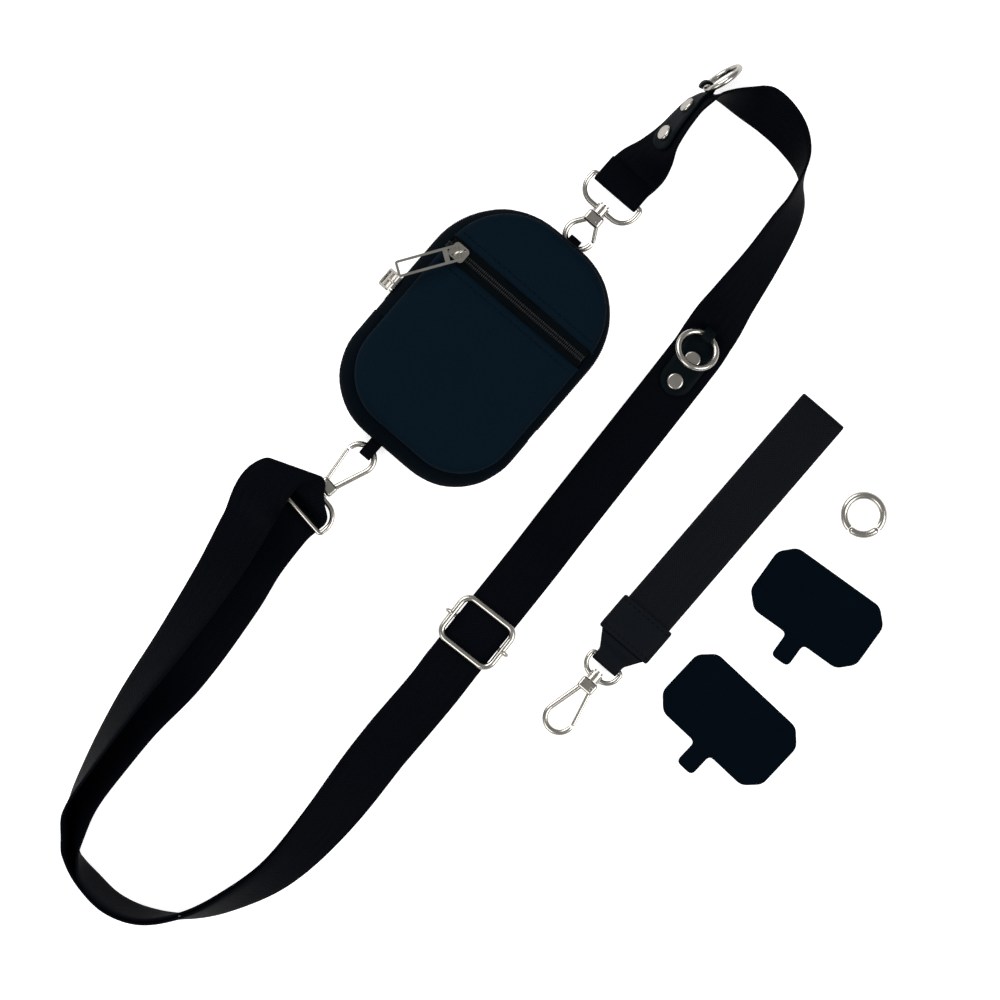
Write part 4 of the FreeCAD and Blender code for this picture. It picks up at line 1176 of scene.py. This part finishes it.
    def fold(self) -> list[Lay]:
        """Cross lines of the loose fold through the lower loop."""
        across = Vector((self.fold_run.y, -self.fold_run.x, 0))
        origin = Vector((self.lower_bar.x, self.lower_bar.y, 0))
        lays = []
        for left, right, height in self.FOLD:
            ends = [origin + across * side + self.fold_run * reach + UP * height for side, reach in (left, right)]
            lays.append(Lay(*ends, -self.thick / 2, 0.0))
        return lays

    def sewn_turn(self, bar: Vector, along: Vector, bend: float, length: float) -> list[Vector]:
        """Middle line of a sewn end, from its upper free end round the bar to the layer below.

        Args:
            bar: Middle of the bar.
            along: Direction from the bar to the strap.
            bend: Radius of the middle line.
            length: Length of the sewn layers.

        Returns:
            The line's points.
        """
        rest = self.thick / 2 - bar.z
        line = [bar + along * (length - 1.5) + UP * (rest + self.thick + 0.05),
                bar + along * (length * 0.55) + UP * ((rest + self.thick + 0.9) * 0.6 + bend * 0.4)]
        for k in range(9):
            turn = math.radians(80 + 25 * k)
            line.append(bar + along * (bend * math.cos(turn)) + UP * (bend * math.sin(turn)))
        return line + [bar + along * (length * 0.55) + UP * (rest * 0.75 - bend * 0.1)]

    def route(self) -> list[tuple[Vector, Vector]]:
        """Edges of the whole strap from its upper sewn end, through both strands, to the tail."""
        half = EAST * (self.width / 2)
        turn = self.sewn_turn(self.upper_bar, NORTH, self.upper_bend, self.upper_sewn)
        start = Vector((self.upper_bar.x + 0.8, self.upper_bar.y + self.upper_sewn, 0))
        main, tail = ([self.laid(station, rest, upper) for stations, rest in layer for station in stations]
                      for layer, upper in ((self.UPPER_LAYER, True), (self.LOWER_LAYER, False)))
        main = [Lay(start - half, start + half, 0.0, 0.0, UP)] + main + self.fold()
        self.first = len(turn)
        return [(p - half, p + half) for p in turn] + self.edges(main) + self.edges(tail)[::-1]

    def run(self) -> list[Section]:
        """Even cross lines along the whole strap, held clear of the floor."""
        lefts, rights = (smooth_run(side, self.steps) for side in zip(*self.route()))
        cuts = []
        for left, right in zip(lefts, rights):
            across = (right - left).normalized()
            low = min(left.z, right.z) - math.hypot(across.x, across.y) * self.thick / 2
            middle = (left + right) / 2 - UP * min(0.0, low)
            width = max(self.width, min(1.1 * self.width, (right - left).length))
            cuts.append(Section(middle * MM, across, width * MM))
        return cuts

    def at(self, station: float) -> tuple[Vector, Vector, Vector]:
        """Middle, across direction and upper normal of the strap at a station of its main run.

        Args:
            station: Fractional count of cross lines from the upper sewn end.

        Returns:
            The middle in metres and two unit directions.
        """
        index = (self.first + station) * self.steps
        low = int(index)
        first, second = self.cuts[low], self.cuts[low + 1]
        middle = first.middle.lerp(second.middle, index - low)
        across = first.across.lerp(second.across, index - low).normalized()
        along = (self.cuts[low + 2].middle - self.cuts[low - 1].middle).normalized()
        return middle, across, across.cross(along).normalized()

    def strip(self, name: str, cuts: Sequence[Section], body: str, held: str, *nodes: str) -> Piece:
        """Stretch of webbing.

        Args:
            name: The piece's name.
            cuts: Its cross lines.
            body: The body that it rides on, or no name where it bends between two.
            held: How it is held; not used.
            nodes: Nodes that it stands for, without the strap's name.

        Returns:
            The piece.
        """
        piece = band(name, cuts, self.thick)
        dress(piece, body, self.rack.cloth(STRAP_CLOTH), "strap_webbing", *("strap_" + node for node in nodes))
        return piece

    def build_web(self) -> None:
        """The strap itself and its tail, split where the tail runs through the adjuster and turns round its bar."""
        self.cuts = self.run()
        drawn = self.drawn * self.steps
        self.strip("long_strap_webbing", self.cuts[:-drawn], "pouch", "laid", *self.WEB_NODES)
        along = self.cuts[-drawn - 1:-self.steps]
        run = self.strip("strap_tail_run_webbing", along, "", "laid", "tail_run")
        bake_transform(run)
        across = Vector((self.glide_run.y, -self.glide_run.x, 0)).normalized()
        foot = self.glide + self.glide_run * self.sewn + UP * (self.thick / 2 - self.glide.z)
        line = self.sewn_turn(self.glide, self.glide_run, self.sewn_bend, self.sewn)[::-1]
        turn = [Section(p * MM, across, self.width * MM) for p in smooth_run([foot] + line, 4)]
        tail = self.strip("strap_tail_turn", self.cuts[-self.steps - 1:] + turn, "", "folded", "tail_end")
        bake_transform(tail)

    def build_tab(self, part: str, start: float, end: float) -> None:
        """Leather tab on the strap's face with a narrow end that folds round its ring.

        Args:
            part: Which of the tabs it is.
            start: Station where it starts.
            end: Station of its ring.
        """
        cuts = []
        count = 40
        passed, last = 0.0, self.at(start)[0]
        for i in range(count + 1):
            share = (i / count) ** 1.5
            middle, across, normal = self.at(start + (end - start) * share)
            passed += (middle - last).length / MM
            last = middle
            neck = ramp(share, 0.7, 0.95)
            full = self.tab_width * (1 - neck) + self.tab_neck * neck
            wide = max(1.5, full * math.sqrt(1 - max(0.0, 1 - passed / self.tab_round) ** 2))
            cuts.append(Section(middle + normal * ((self.thick / 2 + self.tab_lift) * MM), across, wide * MM))
        along = (last - self.at(end - (end - start) * 0.05)[0]).normalized()
        seat = last + normal * ((self.thick / 2 + self.tab_seat) * MM)
        for k in range(1, 13):
            turn = math.radians(-90 + 20 * k)
            bend = along * math.cos(turn) + normal * math.sin(turn)
            radius = self.tab_fold[0] + (self.tab_fold[1] - self.tab_fold[0]) * min(1.0, k / 3)
            cuts.append(Section(seat + bend * (radius * MM), across, self.tab_neck * MM))
        tab = band(part + "_leather_tab", cuts, self.tab_thick)
        dress(tab, "pouch", self.rack.grained(TAB_LEATHER), "tab_leather", part + "_tab")

    def build(self) -> None:
        """Build and dress the strap and its tabs."""
        self.build_web()
        self.build_tab("upper", 1.3, 4.0)
        self.build_tab("lower", 15.215, 14.048)


@dataclass
class Wristlet:
    """The wrist strap: flat webbing loop, sleeve and tapered sewn tip. Sizes in millimetres."""

    rack: FinishRack
    rows: RowTree
    centre: float = 142.834
    foot: float = -61.415
    top: float = 83.585
    sleeve: float = 19.0
    sleeve_width: float = 29.0
    sleeve_thick: float = 6.5
    width: float = 25.0
    thick: float = 1.5
    low: float = 2.3
    high: float = 4.6
    bar: float = 11.0
    bar_level: float = 5.2
    tip_width: float = 14.4
    tip_thick: float = 1.4
    tip_bend: float = 2.1
    tip_straight: float = 3.0

    SPANS = 24
    STITCHES = (2.6, 1.9, 0.2)

    def cut(self, y: float, z: float, width: float) -> Section:
        """Cross line of a band that runs along the wrist strap.

        Args:
            y: Place along it.
            z: Height.
            width: Width of the band.

        Returns:
            The cross line.
        """
        return Section(Vector((self.centre, y, z)) * MM, EAST, width * MM)

    def build_loop(self) -> None:
        """Flat webbing loop, folded at its far end, with a little slack in its upper layer."""
        bend, level = (self.high - self.low) / 2, (self.high + self.low) / 2
        end = self.top - bend - self.thick / 2
        shares = [i / self.SPANS for i in range(self.SPANS + 1)]
        slack = [0.55 * math.sin(math.pi * s) ** 2 * math.sin(5 * math.pi * s) for s in shares]
        places = [self.foot + (end - self.foot) * s for s in shares]
        run = [(place, self.low) for place in places]
        run += [(end + bend * math.sin(math.pi * k / 8), level - bend * math.cos(math.pi * k / 8)) for k in range(1, 8)]
        run += [(place, self.high + max(0.0, loose)) for place, loose in zip(places[::-1], slack[::-1])]
        cuts = [self.cut(y, z, self.width) for y, z in run]
        web = band("wrist_webbing", cuts, self.thick)
        dress(web, "wristlet", self.rack.cloth(WRIST_CLOTH), "wrist_webbing", "wristlet_webbing")

    def build_sleeve(self) -> None:
        """Sleeve that holds both layers, with a stitch line near each end."""
        thread = self.rack.cloth(THREAD)
        level, end = (self.high + self.low) / 2, self.sleeve
        shares = ((0.0, 0.95), (0.4, 0.985), (1.2, 1.0), (end / 2, 1.0), (end - 1.2, 1.0), (end - 0.4, 0.985),
                  (end, 0.95))
        cuts = [self.cut(self.foot + along, level, self.sleeve_width * share) for along, share in shares]
        keeper = band("wrist_keeper", cuts, self.sleeve_thick)
        dress(keeper, "wristlet", self.rack.grained(TRIM_LEATHER), "wrist_trim", "wristlet_sleeve")
        lines = [[Vector((self.centre + side, self.foot + along, level + 3.26)) * MM for side in (-12.6, 12.6)]
                 for along in (2.2, end - 2.2)]
        stitches = self.rows.row("keeper_stitches", lines, self.STITCHES, thread)
        dress(stitches, "wristlet", thread, "wrist_trim")

    def build_tip(self) -> None:
        """Tapered tip folded round the hook's bar."""
        line = [(self.bar, self.high), (self.bar * 0.7, self.high + 0.5), (self.bar * 0.4, self.bar_level + 1.4)]
        for k in range(9):
            turn = math.radians(75 + 26.25 * k)
            line.append((self.tip_bend * math.cos(turn), self.bar_level + self.tip_bend * math.sin(turn)))
        line += [(self.bar * 0.4, self.low + 0.4), (self.bar * 0.7, self.low - 0.2), (self.bar, self.low)]
        cuts = []
        for spot in smooth_run([Vector((0, y, z)) for y, z in line], 4):
            width = self.tip_width + (self.width - self.tip_width) * ramp(spot.y, self.tip_straight, self.bar)
            cuts.append(self.cut(self.foot - self.bar + spot.y, spot.z, width))
        tip = band("wrist_tip", cuts, self.tip_thick)
        dress(tip, "wristlet", self.rack.grained(TRIM_LEATHER), "wrist_trim", "wristlet_tip")

    def build(self) -> None:
        """Build and dress the wrist strap."""
        self.build_loop()
        self.build_sleeve()
        self.build_tip()


@dataclass
class TetherPad:
    """Thin phone pad with cut corners and a tab. Sizes in millimetres."""

    rack: FinishRack
    node: str
    centre: Pair
    turn: float
    length: float
    width: float
    thick: float = 0.8
    chamfer: float = 7.0
    tab_width: float = 9.5
    tab_length: float = 12.5
    soften: float = 2.6
    edge: float = 0.12

    def outline(self) -> list[Vector]:
        """Outline of the plate with softened corners."""
        half, side = self.length / 2, self.width / 2
        near, low = half - self.chamfer, side - self.chamfer
        tab, tip = self.tab_width / 2, -side - self.tab_length
        right = [(tab, tip), (tab, -side), (near, -side), (half, -low), (half, low), (near, side)]
        corners = [Vector((*p, 0)) for p in right + [(-x, y) for x, y in reversed(right)]]
        soft = []
        for before, spot, after in zip([corners[-1]] + corners, corners, corners[1:] + corners[:1]):
            back, ahead = (before - spot).normalized() * self.soften, (after - spot).normalized() * self.soften
            soft += [spot + back * (1 - k / 4) ** 2 + ahead * (k / 4) ** 2 for k in range(5)]
        return soft

    def build(self) -> None:
        """Build and dress the pad."""
        heading = Matrix.Rotation(math.radians(self.turn), 3, "Z")
        path = [(heading @ point + Vector((*self.centre, 0))) * MM for point in self.outline()]
        plate = curve_piece(self.node + "_sheet", [path], True, dimensions="2D", fill_mode="BOTH", bevel_resolution=1,
                            extrude=(self.thick / 2 - self.edge) * MM, bevel_depth=self.edge * MM)
        made = baked(plate)
        for vert in made.data.vertices:
            vert.co.z += self.thick / 2 * MM
        reworked(made, weld=1e-6)
        made.data.shade_flat()
        dress(made, self.node, self.rack.grained(PAD_SHEET), "pad_sheet", self.node)


@dataclass
class Hardware:
    """The plated pieces that keep their solids: sliders, pulls, hooks, adjuster, rivets and rings."""

    rack: FinishRack
    nodes: dict[str, Piece]

    PLATED = ("front_slider", "front_pull", "main_slider", "main_pull", "upper_tab_rivets", "lower_tab_rivets",
              "upper_ring", "lower_ring", "glide_frame", "glide_bar", "key_ring_body", "key_ring_gate")
    HOOKS = ("upper_hook", "lower_hook", "wristlet_hook")
    HOOK_PARTS = ("loop", "body", "gate", "pin")

    def build(self) -> None:
        """Give every plated solid its finish."""
        nickel = self.rack.metal(NICKEL)
        for name in self.PLATED + tuple(f"{hook}_{part}" for hook in self.HOOKS for part in self.HOOK_PARTS):
            solid = self.nodes[name]
            solid.data.materials.clear()
            solid.data.materials.append(nickel)
            LOG.info("%s is plated", name)


@dataclass
class Studio:
    """White table, soft light and the camera of the flat lay. Sizes in metres."""

    aim: Vector = Vector((0.0551, -0.0475, 0.0))
    top: Vector = Vector((-0.652, 0.758, 0.0))
    distance: float = 3.4
    scale: float = 0.4692
    sensor: float = 36.0
    floor_half: float = 1.6
    floor_level: float = -0.0006
    floor_glow: float = 0.55
    surround: float = 0.35

    LAMPS = (("left_softbox", (-1.1, 0.3, 0.9), 1.0, 18.0), ("right_softbox", (1.2, 0.2, 1.0), 1.0, 18.0),
             ("foot_softbox", (0.0, -1.2, 1.0), 0.9, 10.0))
    WHITE = (1.0, 1.0, 1.0, 1.0)
    TABLE = (0.92, 0.92, 0.92, 1.0)

    def build_floor(self) -> None:
        """White table that shows as plain white to the camera and keeps soft contact shadows."""
        corners = [Vector((x * self.floor_half, y * self.floor_half, self.floor_level))
                   for x, y in ((-1, -1), (1, -1), (1, 1), (-1, 1))]
        floor = mesh_piece("white_table", corners, [(0, 1, 2, 3)])
        material = bpy.data.materials.new("white_table_top")
        material.use_nodes = True
        sheet = NodeSheet(material.node_tree)
        seen = sheet.node("ShaderNodeLightPath").outputs["Is Camera Ray"]
        sheet.feed(material.node_tree.nodes["Principled BSDF"], {
            "Base Color": self.TABLE, "Roughness": 0.9, "Specular IOR Level": 0.1, "Emission Color": self.WHITE,
            "Emission Strength": sheet.math("MULTIPLY", seen, self.floor_glow)})
        floor.data.materials.append(material)

    def build_light(self) -> None:
        """Three large soft lamps and a pale surround."""
        for name, place, size, power in self.LAMPS:
            lamp = bpy.data.lights.new(name, "AREA")
            lamp.size = size
            lamp.energy = power
            holder = in_scene(name, lamp)
            holder.location = place
            holder.rotation_euler = (self.aim - Vector(place)).to_track_quat("-Z", "Y").to_euler()
        world = bpy.data.worlds.new("pale_surround")
        world.use_nodes = True
        NodeSheet(world.node_tree).feed(world.node_tree.nodes["Background"],
                                        {"Color": self.WHITE, "Strength": self.surround})
        bpy.context.scene.world = world

    def build_camera(self) -> None:
        """Camera straight above the table, turned as the flat lay shows."""
        eye = bpy.data.cameras.new("flat_lay_camera")
        eye.sensor_width = self.sensor
        eye.lens = self.sensor * self.distance / self.scale
        right = self.top.cross(UP).normalized()
        turn = Matrix((right, UP.cross(right), UP)).transposed().to_4x4()
        holder = in_scene("flat_lay_camera", eye)
        holder.matrix_world = Matrix.Translation(self.aim + UP * self.distance) @ turn
        bpy.context.scene.camera = holder

    def build(self) -> None:
        """Set the stage."""
        self.build_floor()
        self.build_light()
        self.build_camera()
        bpy.context.scene.view_settings.view_transform = "Standard"


def main() -> None:
    """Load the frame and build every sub-assembly."""
    logging.basicConfig(level=logging.INFO)
    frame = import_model()
    rack, rows = FinishRack(), RowTree()
    Pouch(rack, rows).build()
    Strap(rack).build()
    Wristlet(rack, rows).build()
    TetherPad(rack, "phone_pad_upper", (200.9, 11.0), 5.0, 61.0, 35.6).build()
    TetherPad(rack, "phone_pad_lower", (203.9, -55.4), -2.5, 64.0, 37.4).build()
    Hardware(rack, frame["nodes"]).build()
    Studio().build()
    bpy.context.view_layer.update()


if __name__ == "__main__":
    main()
